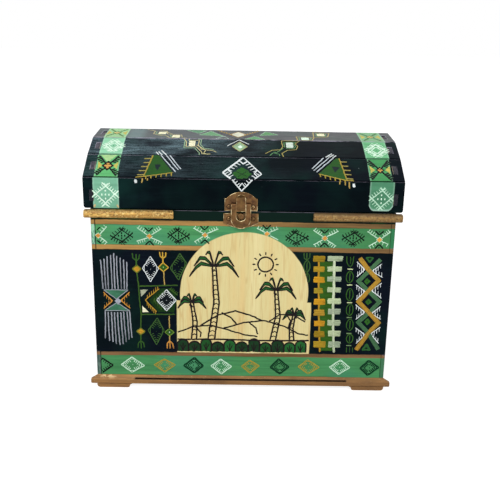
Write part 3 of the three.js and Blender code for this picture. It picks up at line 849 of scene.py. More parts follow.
def lid_paint(key, paints, gloss, stripes=(), tints=(), painted_sheen=0.0, shift=2.0):
    """The lid's near-black paint, a pale green stripe at each end, a painted grey sheen on its left, and
    painted shade to the right.
    """
    finish = Finish(f"lid_{key}_paint", gloss)
    x, _, z = finish.axes()
    wobble = finish.sway(1.5, 40, shift=1.0) + finish.sway(0.6, 240, shift=3.0)
    place = x + wobble
    colour = night_colour(finish, paints, paints.deep_green, shift)
    # Darker toward the right: painted shade.
    if key in LID_PAINTED_SHADE:
        start, end, share = LID_PAINTED_SHADE[key]
        colour = finish.mix(finish.ramp(x, start, end) * share, colour, "02070A")
    streaks = finish.noise(260, (0.12, 1.0, 1.0), detail=4.0, shift=6.0)
    dragged = finish.noise(700, (0.1, 1.0, 1.0), detail=5.0, shift=26.0)
    speckled = finish.noise(1500, (0.5, 1.0, 1.0), shift=36.0)
    # Grey streaks on the left of the slats: a painted sheen.
    west = 1 - finish.ramp(x + finish.sway(150, 18, shift=31.0), -60.0, 40.0)
    cloudy = finish.ramp(finish.noise(45, (0.5, 1.0, 1.0), shift=41.0), 0.3, 0.56)
    grey = finish.ramp(dragged * 0.55 + speckled * 0.45, 0.4, 0.6) * west * cloudy * painted_sheen
    colour = finish.mix(grey, colour, "657C84")
    if key == "top":
        washed = between(finish, place, -117.5, -101.0, 4.0)
        colour = finish.mix(washed * (dragged * 0.9 + 0.3), colour, "4C6868")
    if key == "board":
        # A pale line along the front board's top edge: wear with a painted highlight.
        line = finish.ramp(z + wobble * 0.1, LID_BOARD_TOP / MM - 0.9, LID_BOARD_TOP / MM - 0.5)
        scraped_and_lit = finish.ramp(finish.noise(60, (1.0, 1.0, 0.2), shift=61.0), 0.4, 0.52)
        colour = finish.mix(line * scraped_and_lit * 0.75, colour, "7E7889")
    for (low, high), tint in zip(stripes, tints):
        stripe = finish.mix(finish.ramp(streaks, 0.35, 0.68), shade(tint, 0.84), shade(tint, 1.1))
        inner = between(finish, place, low + 1.1, high - 1.1, 0.6)
        stripe = finish.mix((1 - inner) * 0.18, stripe, "C4DFD2")
        laid = between(finish, place, low, high)
        if key == "board" and low > 0:
            rounding = ((place - (low + high) / 2).size() - 6.5).most(0.0) ** 2 * 0.2
            rise = z - rounding + wobble * 0.4
            foot = LID_FOOT / MM + 1.4
            stripe = finish.mix((1 - finish.ramp(rise, foot + 0.8, foot + 2.6)) * 0.5, stripe, "B9D6C8")
            laid = laid * finish.ramp(rise, foot, foot + 0.4)
        colour = finish.mix(laid, colour, stripe)
    # Rubbed upper edges, fewer on the low slat's right: wear with a painted highlight; lower edges get
    # painted shade.
    kept = finish.ramp(x, 35.0, 60.0) * (0.75 if key == "low" else 0.0)
    colour = edges_worn_lit_and_shaded(finish, colour, "9A96A6", (1 - kept) * 0.9)
    roughness = finish.ramp(dragged, 0.3, 0.7) * 0.18 + 0.3
    return finish.ready(colour, roughness, streaks * 0.5 + dragged * 0.5, 0.14)


def tenon_paint(name):
    """The ends of the end panels' tabs: rubbed purple-grey end grain in its slot."""
    finish = Finish(name, 0.1)
    layers = finish.noise(1400, (1.0, 0.25, 1.0), detail=2.0)
    cloud = finish.noise(260, shift=4.0)
    x, _, z = finish.axes()
    colour = finish.mix(finish.ramp(layers, 0.35, 0.65), "24222A", "48444E")
    colour = finish.mix(finish.ramp(cloud, 0.5, 0.66) * 0.6, colour, "625E68")
    # The tabs get darker below the front board's top edge, and darker on the right as painted shade.
    low = 1 - finish.ramp(z, LID_BOARD_TOP / MM, LID_BOARD_TOP / MM + 0.5)
    right = finish.ramp(x, -10.0, 10.0) * 0.5
    colour = finish.mix((low * 0.75).most(right), colour, "0C1318")
    return finish.ready(colour, cloud * 0.2 + 0.5, layers, 0.08)


def stroke_paint(name):
    """Paint laid with a small brush: the bristles leave streaks along each stroke."""
    finish = Finish(name, 0.06)
    tint = finish.attribute("tint", "Color")
    lane = finish.add("ShaderNodeCombineXYZ", values=[
        finish.attribute("along") * 130, finish.attribute("across") * 2.2, finish.attribute("seed") * 40,
    ])
    bristles = finish.add(
        "ShaderNodeTexNoise", values={"Vector": lane, "Scale": 1.0, "Detail": 3.0, "Roughness": 0.6},
    )
    darker = finish.mix(1.0, tint, (0.62, 0.64, 0.62, 1), "MULTIPLY")
    lighter = finish.mix(1.0, tint, (1.22, 1.2, 1.16, 1), "MULTIPLY")
    colour = finish.mix(finish.ramp(bristles, 0.3, 0.62), darker, lighter)
    colour = finish.mix(finish.ramp(bristles, 0.45, 0.6), colour, tint)
    roughness = finish.ramp(bristles, 0.3, 0.7) * 0.2 + 0.38
    return finish.ready(colour, roughness, bristles, 0.04)


def fill_paint(name):
    """Paint laid with a broad brush inside an outline."""
    finish = Finish(name, 0.06)
    tint = finish.attribute("tint", "Color")
    streaks = finish.noise(420, (0.35, 1.0, 1.0), shift=3.0)
    darker = finish.mix(1.0, tint, (0.66, 0.68, 0.66, 1), "MULTIPLY")
    colour = finish.mix(finish.ramp(streaks, 0.28, 0.6), darker, tint)
    lighter = finish.mix(1.0, tint, (1.28, 1.25, 1.18, 1), "MULTIPLY")
    colour = finish.mix(finish.ramp(streaks, 0.58, 0.75) * 0.7, colour, lighter)
    roughness = finish.ramp(streaks, 0.3, 0.7) * 0.2 + 0.4
    return finish.ready(colour, roughness, streaks, 0.06)


GROOVE_LEVELS = tuple(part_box("plinth_moulding")[1].z / MM - drop for drop in (3.4, 2.0))
GROOVE_HALF = -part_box("foot_front_left")[1].x / MM - 3.0


def gold_strip_paint(name, bright, dark, glitter=False):
    """Brushed-on metallic paint with level marks and painted shade: darker to the right, on the rails' foot
    and top and in the groove; glitter on the rails.
    """
    finish = Finish(name, 0.25)
    x, _, z = finish.axes()
    contrast = 1.0 if glitter else 0.45
    marks = finish.noise(420, (0.08, 1.0, 1.0), detail=4.0, shift=2.0)
    grit = finish.noise(1300, (0.6, 1.0, 1.0), shift=12.0)
    blotches = finish.noise(70, (0.5, 1.0, 1.0), shift=5.0)
    colour = finish.mix(finish.ramp(marks, 0.34, 0.66) * contrast + (1 - contrast) * 0.5, dark, bright)
    colour = finish.mix(finish.ramp(blotches, 0.5, 0.7) * 0.45, colour, shade(dark, 0.75))
    metallic = finish.ramp(marks, 0.3, 0.7) * 0.2 + 0.2
    roughness = finish.ramp(blotches, 0.2, 0.8) * 0.2 + 0.4
    height = marks * contrast * 0.5 + grit * 0.5
    # Toward the right the gold gets painted shade.
    east = finish.ramp(x, -70.0, 90.0)
    if glitter:
        flakes = finish.cells(900)
        sparkle = finish.ramp(finish.cells(620, output="Color"), 0.6, 0.9)
        colour = finish.mix(sparkle * 0.6, colour, "F0D68A")
        # The rail's lower part darkened: painted shade.
        rail_underside_shade = 1 - finish.ramp(z + finish.sway(3, 200, shift=3.0), 177.5, 179.6)
        colour = finish.mix(rail_underside_shade * 0.75, colour, "4A3418")
        # A dark band along the rail's top: painted shadow of the lid.
        lid_shadow_on_rail = finish.ramp(z + finish.sway(3, 260, shift=33.0), 182.6, 185.0)
        colour = finish.mix(lid_shadow_on_rail * (east * 0.35 + 0.4), colour, "4E4A38")
        # Dark pits in the glitter, more of them on the right as painted shade.
        pits = finish.ramp(finish.noise(640, detail=2.0, shift=13.0), 0.54, 0.66)
        colour = finish.mix(pits * (east * 0.2 + 0.75), colour, "4A3518")
        height = marks * 0.4 + flakes * 0.6
    else:
        flecks = finish.ramp(finish.noise(900, (0.3, 1.0, 1.0), detail=2.0, shift=43.0), 0.64, 0.74)
        colour = finish.mix(flecks * 0.45, colour, "C9A878")
        chipped = finish.ramp(finish.noise(300, (0.5, 1.0, 1.0), shift=53.0), 0.52, 0.58)
        chipped = chipped * between(finish, x, -140.0, -126.0, 3.0) * finish.ramp(z, 9.0, 11.0)
        colour = finish.mix(chipped * 0.7, colour, "D8B888")
        # Dark inside the moulding's groove: painted shade.
        groove_shade = between(finish, z, *GROOVE_LEVELS, 0.1)
        groove_shade = groove_shade * (1 - finish.ramp(x.size(), GROOVE_HALF, GROOVE_HALF + 0.6))
        colour = finish.mix(groove_shade * 0.9, colour, "160C08")
    # Painted shade toward the right.
    colour = finish.mix(east * (0.66 if glitter else 0.3), colour, "59422C")
    # Rubbed edges: wear with a painted highlight.
    colour = edges_worn_lit_and_shaded(finish, colour, shade(bright, 1.25), 0.6)
    return finish.ready(colour, roughness, height, 0.25, metallic)


LATCH_NAILS = tuple(
    ((low.x + high.x) / 2 / MM, (low.z + high.z) / 2 / MM)
    for low, high in (
        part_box(f"latch_{level}_nail_{side}") for level in ("upper", "lower") for side in ("left", "right")
    )
)
NAIL_SHADE_RADIUS = 2.0


def aged_brass(paints, name="aged_brass", bright=0.0):
    """Antique brass: brown and olive in its hollows, painted shade round its nails, and bright where hands
    and edges rub it, with a painted highlight.
    """
    finish = Finish(name, 0.4)
    cloud = finish.noise(210, detail=4.0, shift=3.0)
    tone = finish.noise(120, detail=2.0, shift=13.0)
    fine = finish.noise(1500, detail=2.0, shift=8.0)
    colour = finish.mix(finish.ramp(cloud, 0.34, 0.66), "4E3624", paints.brass)
    colour = finish.mix(finish.ramp(tone, 0.5, 0.62) * 0.4, colour, "5E4C2A")
    colour = finish.mix(finish.ramp(fine, 0.62, 0.78) * 0.3, colour, "32221A")
    x, _, z = finish.axes()
    # A dark ring round each nail head: painted shade.
    for nail in LATCH_NAILS:
        side = x - nail[0]
        rise = z - nail[1]
        reach = (side * side + rise * rise) ** 0.5
        nail_shade = 1 - finish.ramp((reach - NAIL_SHADE_RADIUS).size(), 0.2, 0.55)
        colour = finish.mix(nail_shade * 0.85, colour, "24160E")
    # Rubbed edges, and the extra bright share, turn pale brass: wear with a painted highlight.
    glints = finish.ramp(finish.noise(150, detail=2.0, shift=33.0), 0.46, 0.6)
    rubbed_and_highlit = (finish.attribute("wear_and_painted_light") + bright) * (glints * 0.7 + 0.3)
    colour = finish.mix(rubbed_and_highlit.least(1.0), colour, finish.mix(glints, "B08F5E", "EBD8A8"))
    roughness = finish.ramp(fine, 0.3, 0.7) * 0.12 + 0.3
    metallic = finish.ramp(cloud, 0.2, 0.5) * 0.12 + 0.82
    return finish.ready(colour, roughness, fine, 0.06, metallic)


# Colours of the painted motifs

WHITE = "DDE4E6"
PALE_GREEN = "C3E2CC"
MILK = "D8F0DF"
COMB_GREY = "9EA2AE"
INK = "08150F"
OCHRE = "B4872A"
BEAD_RIM = "6E7426"
OLIVE_GOLD = "A8892A"
LEMON = "B8AE55"
AMBER = "CC9044"
LEAF = "2C5218"
DULL_GREEN = "46704C"
DIM_GREEN = "3A5C2A"
TEAL = "3F7F5C"
TRIDENT_GREEN = "335A22"
FRAME_GREEN = "38581F"
TAN = "B79A55"
COLUMN = "C3CFB0"
CREAM = "E9E6C4"
GOLD = "CCA33C"
LID_GOLD = "A28F38"
NIGHT_GROUND = "0B171A"
BAND_GROUND = "46995A"
MINT_GROUND = "6CC48E"
WOOD_GROUND = "E6D6A2"
LINE_INK = "1A1416"


# Motifs


def teeth(brush, start, end, count, tooth, width, colour, first=0.14, last=0.86):
    """Short strokes of one direction, spread along the way from start to end."""
    for order in range(count):
        root = toward(start, end, first + (last - first) * order / max(1, count - 1))
        reach = brush.dice.uniform(0.85, 1.1)
        tip = (root[0] + tooth[0] * reach, root[1] + tooth[1] * reach)
        brush.line([root, tip], width, colour, tip=0.75, shake=0.05)


def square_to(start, end, reach):
    """A tooth of that reach, to the left of the way from start to end."""
    whole = gap(start, end)
    return ((start[1] - end[1]) / whole * reach, (end[0] - start[0]) / whole * reach)


# The width of teeth and hairs as a share of their stroke's, and the part of each side that has them
TOOTH_SHARE = 0.74
TOOTH_SPAN = (0.31, 0.7)
HAIR_SHARE = 0.65
HAIR_SPAN = (-0.05, 1.05)
EYE_REACH = 0.25


def comb_lozenge(brush, corners, colour, width, count, reach):
    """A lozenge whose sides carry teeth on the inside, with an eye in each tip and a seed."""
    left, top, right, bottom = corners
    brush.outline(corners, width, colour)
    ring = [left, bottom, right, top]
    for start, end in sides(ring):
        inward = square_to(start, end, width / 2 + reach)
        teeth(brush, start, end, count, inward, width * TOOTH_SHARE, colour, *TOOTH_SPAN)
    for order, tip in enumerate(ring):
        one = toward(tip, ring[order - 1], EYE_REACH)
        other = toward(tip, ring[(order + 1) % 4], EYE_REACH)
        brush.line([one, other], width * 0.7, colour)
    brush.dot(((left[0] + right[0]) / 2, (top[1] + bottom[1]) / 2), width * 0.75, colour)


def hairy_lozenge(brush, corners, colour, width, over, hair, count=6, dots=None):
    """A lozenge whose sides cross at the corners, with hairs outside and five dots within."""
    left, top, right, bottom = corners
    ring = [left, top, right, bottom]
    for start, end in sides(ring):
        whole = gap(start, end)
        first = toward(start, end, -over / whole)
        last = toward(start, end, 1 + over / whole)
        brush.line([first, last], width, colour)
        outward = square_to(start, end, hair)
        teeth(brush, start, end, count, outward, width * HAIR_SHARE, colour, *HAIR_SPAN)
    x = (left[0] + right[0]) / 2
    y = (top[1] + bottom[1]) / 2
    across = (right[0] - left[0]) * 0.19
    up = (top[1] - bottom[1]) * 0.235
    for place in ((x, y), (x - across, y), (x + across, y), (x, y + up), (x, y - up)):
        brush.dot(place, width * 1.5, dots or colour)


CROSS_WIDTH = 1.05
CROSS_HAIR = 3.2
CROSS_HEART = 2.6


def hairy_cross(brush, centre, ends, colour, heart):
    """Four hairy arms that meet in a small bright lozenge; the hairs lean to the upright through it."""
    for end in ends:
        side = 1 if end[0] > centre[0] else -1
        level = 1 if end[1] > centre[1] else -1
        root = (centre[0] + side * 2.0, centre[1] + level * 1.6)
        brush.line([root, end], CROSS_WIDTH, colour, dry=0.16)
        hairs = square_to(root, end, CROSS_HAIR)
        if hairs[0] * side > 0:
            hairs = (-hairs[0], -hairs[1])
        teeth(brush, root, end, round(gap(root, end) / 3), hairs, CROSS_WIDTH * 0.68, colour, 0.3, 0.9)
    rim = lozenge(centre, CROSS_HEART + 0.5, CROSS_HEART + 0.45)
    brush.fill([clear_of_arch(*place) for place in rim], colour)
    core = lozenge(centre, CROSS_HEART, CROSS_HEART)
    brush.fill([clear_of_arch(*place) for place in core], heart, dry=0)


def clear_of_arch(x, y):
    """The place itself, or the nearest one outside the round top of the bare arch."""
    side = x - ARCH_MIDDLE[0]
    rise = y - ARCH_MIDDLE[1]
    reach = math.hypot(side, rise)
    if reach > ARCH_RADIUS or y < ARCH_MIDDLE[1]:
        return (x, y)
    return (ARCH_MIDDLE[0] + side * ARCH_RADIUS / reach, ARCH_MIDDLE[1] + rise * ARCH_RADIUS / reach)


MITRE_LEAST = 0.4


def beside(path, shift):
    """A chain of points that runs beside another, with mitred corners."""
    moved = []
    for order, place in enumerate(path):
        before = path[max(0, order - 1)]
        after = path[min(len(path) - 1, order + 1)]
        arms = [square_to(a, b, 1.0) for a, b in ((before, place), (place, after)) if a != b]
        x = sum(arm[0] for arm in arms) / len(arms)
        y = sum(arm[1] for arm in arms) / len(arms)
        stretch = shift / max(MITRE_LEAST, x * x + y * y)
        moved.append((place[0] + x * stretch, place[1] + y * stretch))
    return moved


# The chevrons over and under a cross: the point's distance from its middle, the half width and the height
OVER = (4.9, 3.9, 4.0)
UNDER = (-4.6, 4.0, -4.2)
CHEVRON_WIDTH = 1.5


def dark_chevron(brush, x, middle, away, half, height):
    """A V with a dot in its mouth; a negative height turns it over."""
    y = middle + away
    for end in (x - half, x + half):
        brush.line([(x, y), (end, y + height)], CHEVRON_WIDTH, INK)
    brush.dot((x, y + height * 0.78), CHEVRON_WIDTH * 0.9, INK)


def comb_chevron(brush, top, point, bottom, colour, width, count, reach, outside):
    """A V lying on its side, with upright teeth either outside it or in its mouth."""
    turn = 1 if outside else -1
    for end in (top, bottom):
        up = 1 if end[1] > point[1] else -1
        brush.line([point, end], width, colour)
        teeth(brush, point, end, count, (0, up * turn * reach), width * 0.62, colour, 0.16, 0.9)


def trident(brush, root, prongs, colour, width):
    """Prongs that grow from one root; each is a chain of points."""
    for prong in prongs:
        brush.line([root, *prong], width, colour, dry=0.16, shake=0.12)


def bead(brush, centre, across, up, colour, rim, width, heart=None):
    """A small filled lozenge with a painted rim."""
    brush.fill(lozenge(centre, across * 0.85, up * 0.85), colour)
    brush.outline(lozenge(centre, across, up), width, rim)
    if heart:
        brush.dot(centre, width * 1.3, heart)


def drop(brush, place, width, length, colour):
    x, y = place
    brush.line([(x, y + length / 2), (x + 0.3, y), (x + 0.6, y - length / 2)], width, colour, tip=0.7)


# The front's two bands, in millimetres from its middle and from the floor

LOW_BAND = (
    ("pale", (-120.2, 23.4), (-109.3, 32.1), (-96.7, 22.7), (-109.5, 15.0)),
    ("gold", (-87.0, 23.7), (-76.8, 30.5), (-65.7, 23.9), (-76.7, 15.5)),
    ("dark", (-57.6, 23.5), (-46.5, 32.5), (-37.8, 23.3), (-46.6, 15.4)),
    ("pale", (-30.1, 23.3), (-20.5, 31.2), (-9.4, 23.0), (-19.5, 14.5)),
    ("gold", (0.5, 23.4), (8.4, 30.4), (18.5, 24.2), (9.2, 15.6)),
    ("dark", (29.3, 22.7), (37.6, 32.3), (48.4, 23.3), (39.5, 15.4)),
    ("gold", (57.4, 23.6), (66.8, 31.8), (78.8, 23.4), (67.9, 15.7)),
    ("pale", (89.0, 23.7), (99.7, 32.2), (109.7, 23.4), (98.6, 15.5)),
    ("dark", (119.8, 22.9), (128.2, 32.0), (139.1, 24.2), (128.3, 15.2)),
)
LOZENGE_PAINTS = {"pale": (PALE_GREEN, 1.15), "gold": (OLIVE_GOLD, 1.1), "dark": ("04301C", 1.75)}
# How many teeth each side of a comb lozenge has, and how long they are
COMB = (4, 2.9)
DARK_HAIRS = {"width": 1.3, "over": 3.6, "hair": 3.9, "count": 5}
CUT_LOZENGE = ((-139.4, 30.9), (-128.2, 22.8), (-139.2, 14.4))
CROSSES = (
    ((-137.6, 159.7), (-129.0, 168.9), (-129.1, 152.7)),
    ((-89.0, 159.6), (-100.8, 168.3), (-77.7, 167.6), (-101.4, 154.6), (-76.7, 153.5)),
    ((-36.3, 161.9), (-47.4, 168.7), (-23.6, 168.1), (-46.6, 154.9), (-31.5, 158.6)),
    ((22.6, 163.9), (12.7, 169.4), (33.1, 169.1)),
    ((77.7, 160.5), (66.3, 168.5), (90.5, 167.9), (67.1, 153.7), (88.9, 152.6)),
    ((129.9, 159.8), (117.7, 168.1), (140.0, 168.2), (119.7, 153.1), (138.7, 155.5)),
)
DARK_LOZENGES = (
    ((-127.5, 157.3), (-115.0, 168.6), (-103.2, 160.7), (-114.6, 151.2)),
    ((-73.2, 161.1), (-63.0, 168.9), (-49.5, 160.0), (-62.2, 152.7)),
    ((38.7, 159.9), (48.1, 168.5), (63.7, 160.6), (50.1, 152.6)),
    ((92.5, 161.5), (106.2, 169.0), (116.9, 161.1), (104.7, 152.9)),
)


def paint_low_band(brush):
    """The row of comb lozenges along the front's foot."""
    top, tip, bottom = CUT_LOZENGE
    for start, end, turn in ((tip, top, -1), (tip, bottom, 1)):
        brush.line([start, end], 1.8, INK)
        tooth = square_to(start, end, 3.2 * -turn)
        teeth(brush, start, end, 5, tooth, 1.0, INK, 0.22, 0.9)
    for paint, *corners in LOW_BAND:
        comb_lozenge(brush, corners, *LOZENGE_PAINTS[paint], *COMB)


def paint_high_band(brush):
    """The row of hairy crosses and lozenges under the lid."""
    for centre, *ends in CROSSES:
        hairy_cross(brush, centre, ends, PALE_GREEN, AMBER)
        x, y = centre
        if x < -130:
            for near, far in ((5.4, 8.4), (-4.8, -8.0)):
                brush.line([(x - 1.0, y + near), (x + 2.2, y + far)], 1.4, INK)
            continue
        dark_chevron(brush, x - 0.5, y, *OVER)
        if len(ends) > 3:
            dark_chevron(brush, x, y, *UNDER)
    brush.line([(25.6, 162.2), (33.4, 158.0)], 1.0, PALE_GREEN)
    for corners in DARK_LOZENGES:
        middle = (corners[0][0] + corners[2][0]) / 2
        level = (corners[1][1] + corners[3][1]) / 2
        inner = [toward((middle, level), corner, 0.64) for corner in corners]
        hairy_lozenge(brush, inner, INK, **DARK_HAIRS)


LOZENGE_REPEAT = 29.6
CROSS_REPEAT = 27


def paint_round_bands(brush, half_length, seed):
    """The bands' motifs as they go on round the sides and the back."""
    dice = random.Random(seed)

    def slip(reach):
        return dice.uniform(-reach, reach)

    paints = list(LOZENGE_PAINTS.values())
    count = round(2 * half_length / LOZENGE_REPEAT)
    step = 2 * half_length / count
    for order in range(count):
        x = -half_length + step * (order + 0.5) + slip(1)
        corners = [
            (x - 11 + slip(0.8), 23.4 + slip(0.4)), (x + slip(1), 31.3 + slip(0.5)),
            (x + 10.8 + slip(0.8), 23.4 + slip(0.4)), (x + slip(1), 15.4 + slip(0.4)),
        ]
        comb_lozenge(brush, corners, *paints[(order + seed) % len(paints)], *COMB)
    count = 2 * round(half_length / CROSS_REPEAT)
    step = 2 * half_length / count
    for order in range(count):
        x = -half_length + step * (order + 0.5) + slip(0.8)
        y = 160.3 + slip(0.6)
        if order % 2:
            ends = [(x + a * 11.6, y + b * 8.0 - 0.3) for a in (-1, 1) for b in (1, -1)]
            hairy_cross(brush, (x, y), ends, PALE_GREEN, AMBER)
            dark_chevron(brush, x - 0.3, y, *OVER)
            dark_chevron(brush, x, y, *UNDER)
        else:
            hairy_lozenge(brush, lozenge((x, y), 7.9, 5.4), INK, **DARK_HAIRS)


# The front's left panel

COMB_TOPS = (
    ((-136.3, 135.2), (-135.1, 105.0)), ((-133.0, 136.3), (-132.3, 105.1)),
    ((-130.0, 138.9), (-129.8, 105.1)), ((-126.7, 140.3), (-126.2, 105.2)),
    ((-123.5, 142.2), (-123.5, 105.2)), ((-120.9, 139.3), (-120.4, 105.3)),
    ((-117.6, 137.6), (-117.3, 105.2)), ((-114.4, 135.8), (-114.3, 105.3)),
    ((-111.4, 133.5), (-111.9, 105.3)),
)
COMB_FEET = (
    ((-133.7, 81.7), (-135.0, 52.3)), ((-131.0, 81.0), (-130.7, 49.6)),
    ((-128.0, 81.0), (-127.4, 48.6)), ((-125.0, 80.6), (-124.1, 46.2)),
    ((-121.9, 80.7), (-120.6, 45.2)), ((-118.8, 80.7), (-117.4, 46.2)),
    ((-115.9, 81.4), (-114.3, 48.5)), ((-112.6, 81.5), (-111.4, 51.3)),
    ((-110.0, 81.9), (-108.4, 53.2)),
)
HOURGLASS = (
    ((-134.4, 104.2), (-110.9, 104.4), (-122.3, 94.6)),
    ((-134.3, 82.3), (-109.8, 82.4), (-122.1, 91.0)),
)
ORANGE_COMBS = (
    ((-135.0, 101.9), (-126.3, 92.6), (-135.2, 84.7)),
    ((-109.4, 102.1), (-118.3, 93.2), (-109.4, 85.0)),
)
POLE = ((-101.9, 122.5), (-100.6, 109.3), (-99.9, 91.4), (-98.8, 78.9), (-99.6, 64.0))
FRAME_LINES = (((-100.8, 108.4), (-62.5, 110.0)), ((-98.7, 78.7), (-65.6, 79.3)))
WHITE_LOZENGES = (
    ((-96.3, 127.5), (-88.7, 139.5), (-80.9, 126.8), (-88.9, 113.3)),
    ((-83.4, 94.4), (-73.5, 105.3), (-64.2, 94.4), (-73.8, 82.9)),
)
GREEN_LOZENGES = (
    ((-69.7, 127.9), (-60.4, 143.0), (-53.9, 132.9), (-61.8, 115.6)),
    ((-92.4, 61.8), (-83.0, 75.2), (-76.6, 61.8), (-84.3, 45.9)),
)


def paint_left_panel(brush):
    """Combs, an hourglass, tridents and lozenges on the dark paint left of the arch."""
    for top, foot in COMB_TOPS + COMB_FEET:
        middle = toward(top, foot, 0.5)
        bowed = (middle[0] + brush.dice.uniform(-0.3, 0.3), middle[1])
        brush.line([top, bowed, foot], 1.35, COMB_GREY, dry=0.25, tip=0.7)
    for corners in HOURGLASS:
        brush.fill(corners, "3B6E54")
        brush.outline(corners, 0.8, COMB_GREY)
    centre = (-121.0, 92.6)
    brush.fill(lozenge(centre, 3.4, 3.6), COMB_GREY)
    brush.dot(centre, 1.0, "6B7078")
    for top, point, bottom in ORANGE_COMBS:
        comb_chevron(brush, top, point, bottom, "CC8C38", 1.15, 4, 3.4, False)
    trident(brush, (-102.1, 134.8), (
        ((-105.1, 137.6), (-105.9, 142.5)), ((-102.1, 141.7),), ((-99.6, 137.1), (-98.9, 141.4)),
    ), TRIDENT_GREEN, 1.5)
    brush.line([(-102.1, 134.8), (-102.1, 129.0)], 1.5, TRIDENT_GREEN)
    bead(brush, (-101.8, 126.4), 4.3, 4.1, OCHRE, BEAD_RIM, 1.2)
    brush.line(POLE, 1.35, FRAME_GREEN)
    brush.lines(FRAME_LINES, 1.5, FRAME_GREEN)
    bead(brush, (-99.6, 60.4), 4.2, 3.8, OCHRE, BEAD_RIM, 1.2)
    brush.line([(-99.6, 56.7), (-99.8, 50.2)], 1.4, TRIDENT_GREEN)
    trident(brush, (-99.8, 50.2), (
        ((-102.2, 47.8), (-102.8, 42.3)), ((-99.6, 41.5),), ((-97.2, 47.8), (-96.4, 42.8)),
    ), TRIDENT_GREEN, 1.4)
    comb_lozenge(brush, WHITE_LOZENGES[0], WHITE, 0.85, 4, 2.5)
    for corners in GREEN_LOZENGES:
        comb_lozenge(brush, corners, DIM_GREEN, 1.0, *COMB)
    trident(brush, (-76.6, 137.4), (
        ((-79.1, 139.6), (-79.7, 144.3)), ((-76.8, 144.2),), ((-74.0, 139.6), (-73.6, 143.9)),
    ), GOLD, 1.4)
    brush.line([(-76.6, 137.4), (-76.6, 132.5)], 1.6, GOLD)
    bead(brush, (-76.3, 128.5), 4.9, 4.6, LEAF, GOLD, 1.1, "8FC070")
    brush.line([(-76.1, 123.9), (-75.8, 116.0), (-75.3, 110.2)], 1.3, TAN)
    brush.fill([(-99.1, 104.8), (-91.5, 105.0), (-98.2, 97.6)], "A3A88E")
    brush.fill([(-97.4, 88.0), (-91.3, 81.2), (-97.4, 81.2)], CREAM)
    under_comb = [
        (-79.5, 106.5), (-66.0, 107.0), (-64.0, 95.0), (-66.5, 81.5), (-82.0, 81.5), (-91.0, 94.0),
    ]
    brush.fill(under_comb, "12300F")
    comb_chevron(brush, (-80.7, 106.1), (-94.5, 94.1), (-83.6, 81.7), "B58C2C", 1.15, 6, 4.2, True)
    for share in (0.2, 0.36, 0.52, 0.68, 0.84):
        for end in ((-74.5, 106.0), (-77.5, 81.7)):
            root = toward((-88.0, 94.2), end, share)
            up = 1 if end[1] > 94 else -1
            brush.line([root, (root[0], root[1] - up * 4.0)], 0.9, FRAME_GREEN)
    brush.fill(WHITE_LOZENGES[1], "0A1016")
    comb_lozenge(brush, WHITE_LOZENGES[1], WHITE, 0.95, *COMB)
    brush.line([(-71.2, 106.4), (-62.8, 99.6)], 1.2, FRAME_GREEN)
    teeth(brush, (-71.2, 106.4), (-62.8, 99.6), 5, (1.4, 2.2), 0.9, FRAME_GREEN)
    bead(brush, (-71.3, 59.9), 4.6, 3.8, LEAF, "6F8F35", 1.0, WHITE)
    brush.lines((((-71.4, 77.6), (-71.2, 64.2)), ((-71.1, 56.0), (-71.2, 50.6))), 1.3, TAN)
    trident(brush, (-71.2, 50.8), (
        ((-73.4, 47.9), (-74.0, 42.0)), ((-70.8, 42.1),), ((-68.3, 47.5), (-67.3, 42.0)),
    ), "C88A40", 1.4)


# The front's right panel

OCHRE_BLOCKS = (
    (67.1, 142.3, 79.3, 136.8), (67.9, 131.5, 79.6, 126.4), (68.4, 120.8, 80.2, 115.3),
    (69.0, 109.2, 78.9, 104.0), (69.7, 97.8, 81.8, 92.0), (70.3, 86.2, 81.8, 80.3),
    (70.8, 74.4, 82.3, 69.0), (71.4, 63.1, 82.9, 57.2), (71.3, 52.0, 84.2, 45.9),
)
OCHRE_TINTS = ("927619", "A88824", "C48F1E", "9C8626", "C9921F", "A5822A", "C48E1F")
COLUMN_TINTS = ("A2B192", "B2C19B", "9AAA90", "ADBC97", "B8C89E", "98A68E")
OCHRE_STEM = ((72.9, 138.0), (74.1, 111.1), (75.2, 93.0), (75.6, 80.7), (77.1, 62.1), (78.4, 40.5))
PALE_BLOCKS = (
    (81.1, 142.5, 96.5, 137.7), (81.3, 131.7, 96.0, 127.1), (81.7, 121.3, 96.3, 116.6),
    (82.3, 110.0, 96.4, 105.3), (83.0, 98.4, 97.1, 93.1), (83.9, 87.5, 97.3, 82.0),
    (84.1, 75.3, 98.0, 69.9), (85.1, 63.8, 98.6, 58.2), (85.9, 52.0, 99.2, 45.9),
)
PALE_STEM = ((87.9, 138.5), (88.9, 111.2), (89.2, 88.4), (90.7, 63.7), (92.7, 40.2))
OVALS = (
    (103.5, 127.1, 104.0, 115.5), (104.5, 109.5, 105.1, 96.6), (105.5, 92.9, 106.0, 80.9),
    (106.5, 76.6, 107.0, 64.6), (107.4, 60.3, 107.8, 50.8),
)
DASHES = ((103.8, 129.5), (104.2, 113.0), (105.2, 94.4), (105.8, 78.5), (106.5, 61.4), (107.1, 48.0))
OCHRE_BAND = (
    (112.4, 140.9), (121.8, 128.5), (131.9, 118.1), (122.6, 107.1), (113.9, 95.5), (124.8, 84.1),
    (135.1, 73.3), (125.9, 62.3), (114.7, 43.3),
)
GREEN_BAND = (
    (132.4, 140.0), (123.2, 129.2), (112.5, 117.1), (122.6, 107.1), (134.5, 95.8), (125.5, 84.9),
    (114.9, 73.6), (125.5, 62.3), (136.8, 44.1),
)
BAND_HEARTS = ((120.9, 117.1), (123.5, 95.5), (124.0, 74.2))
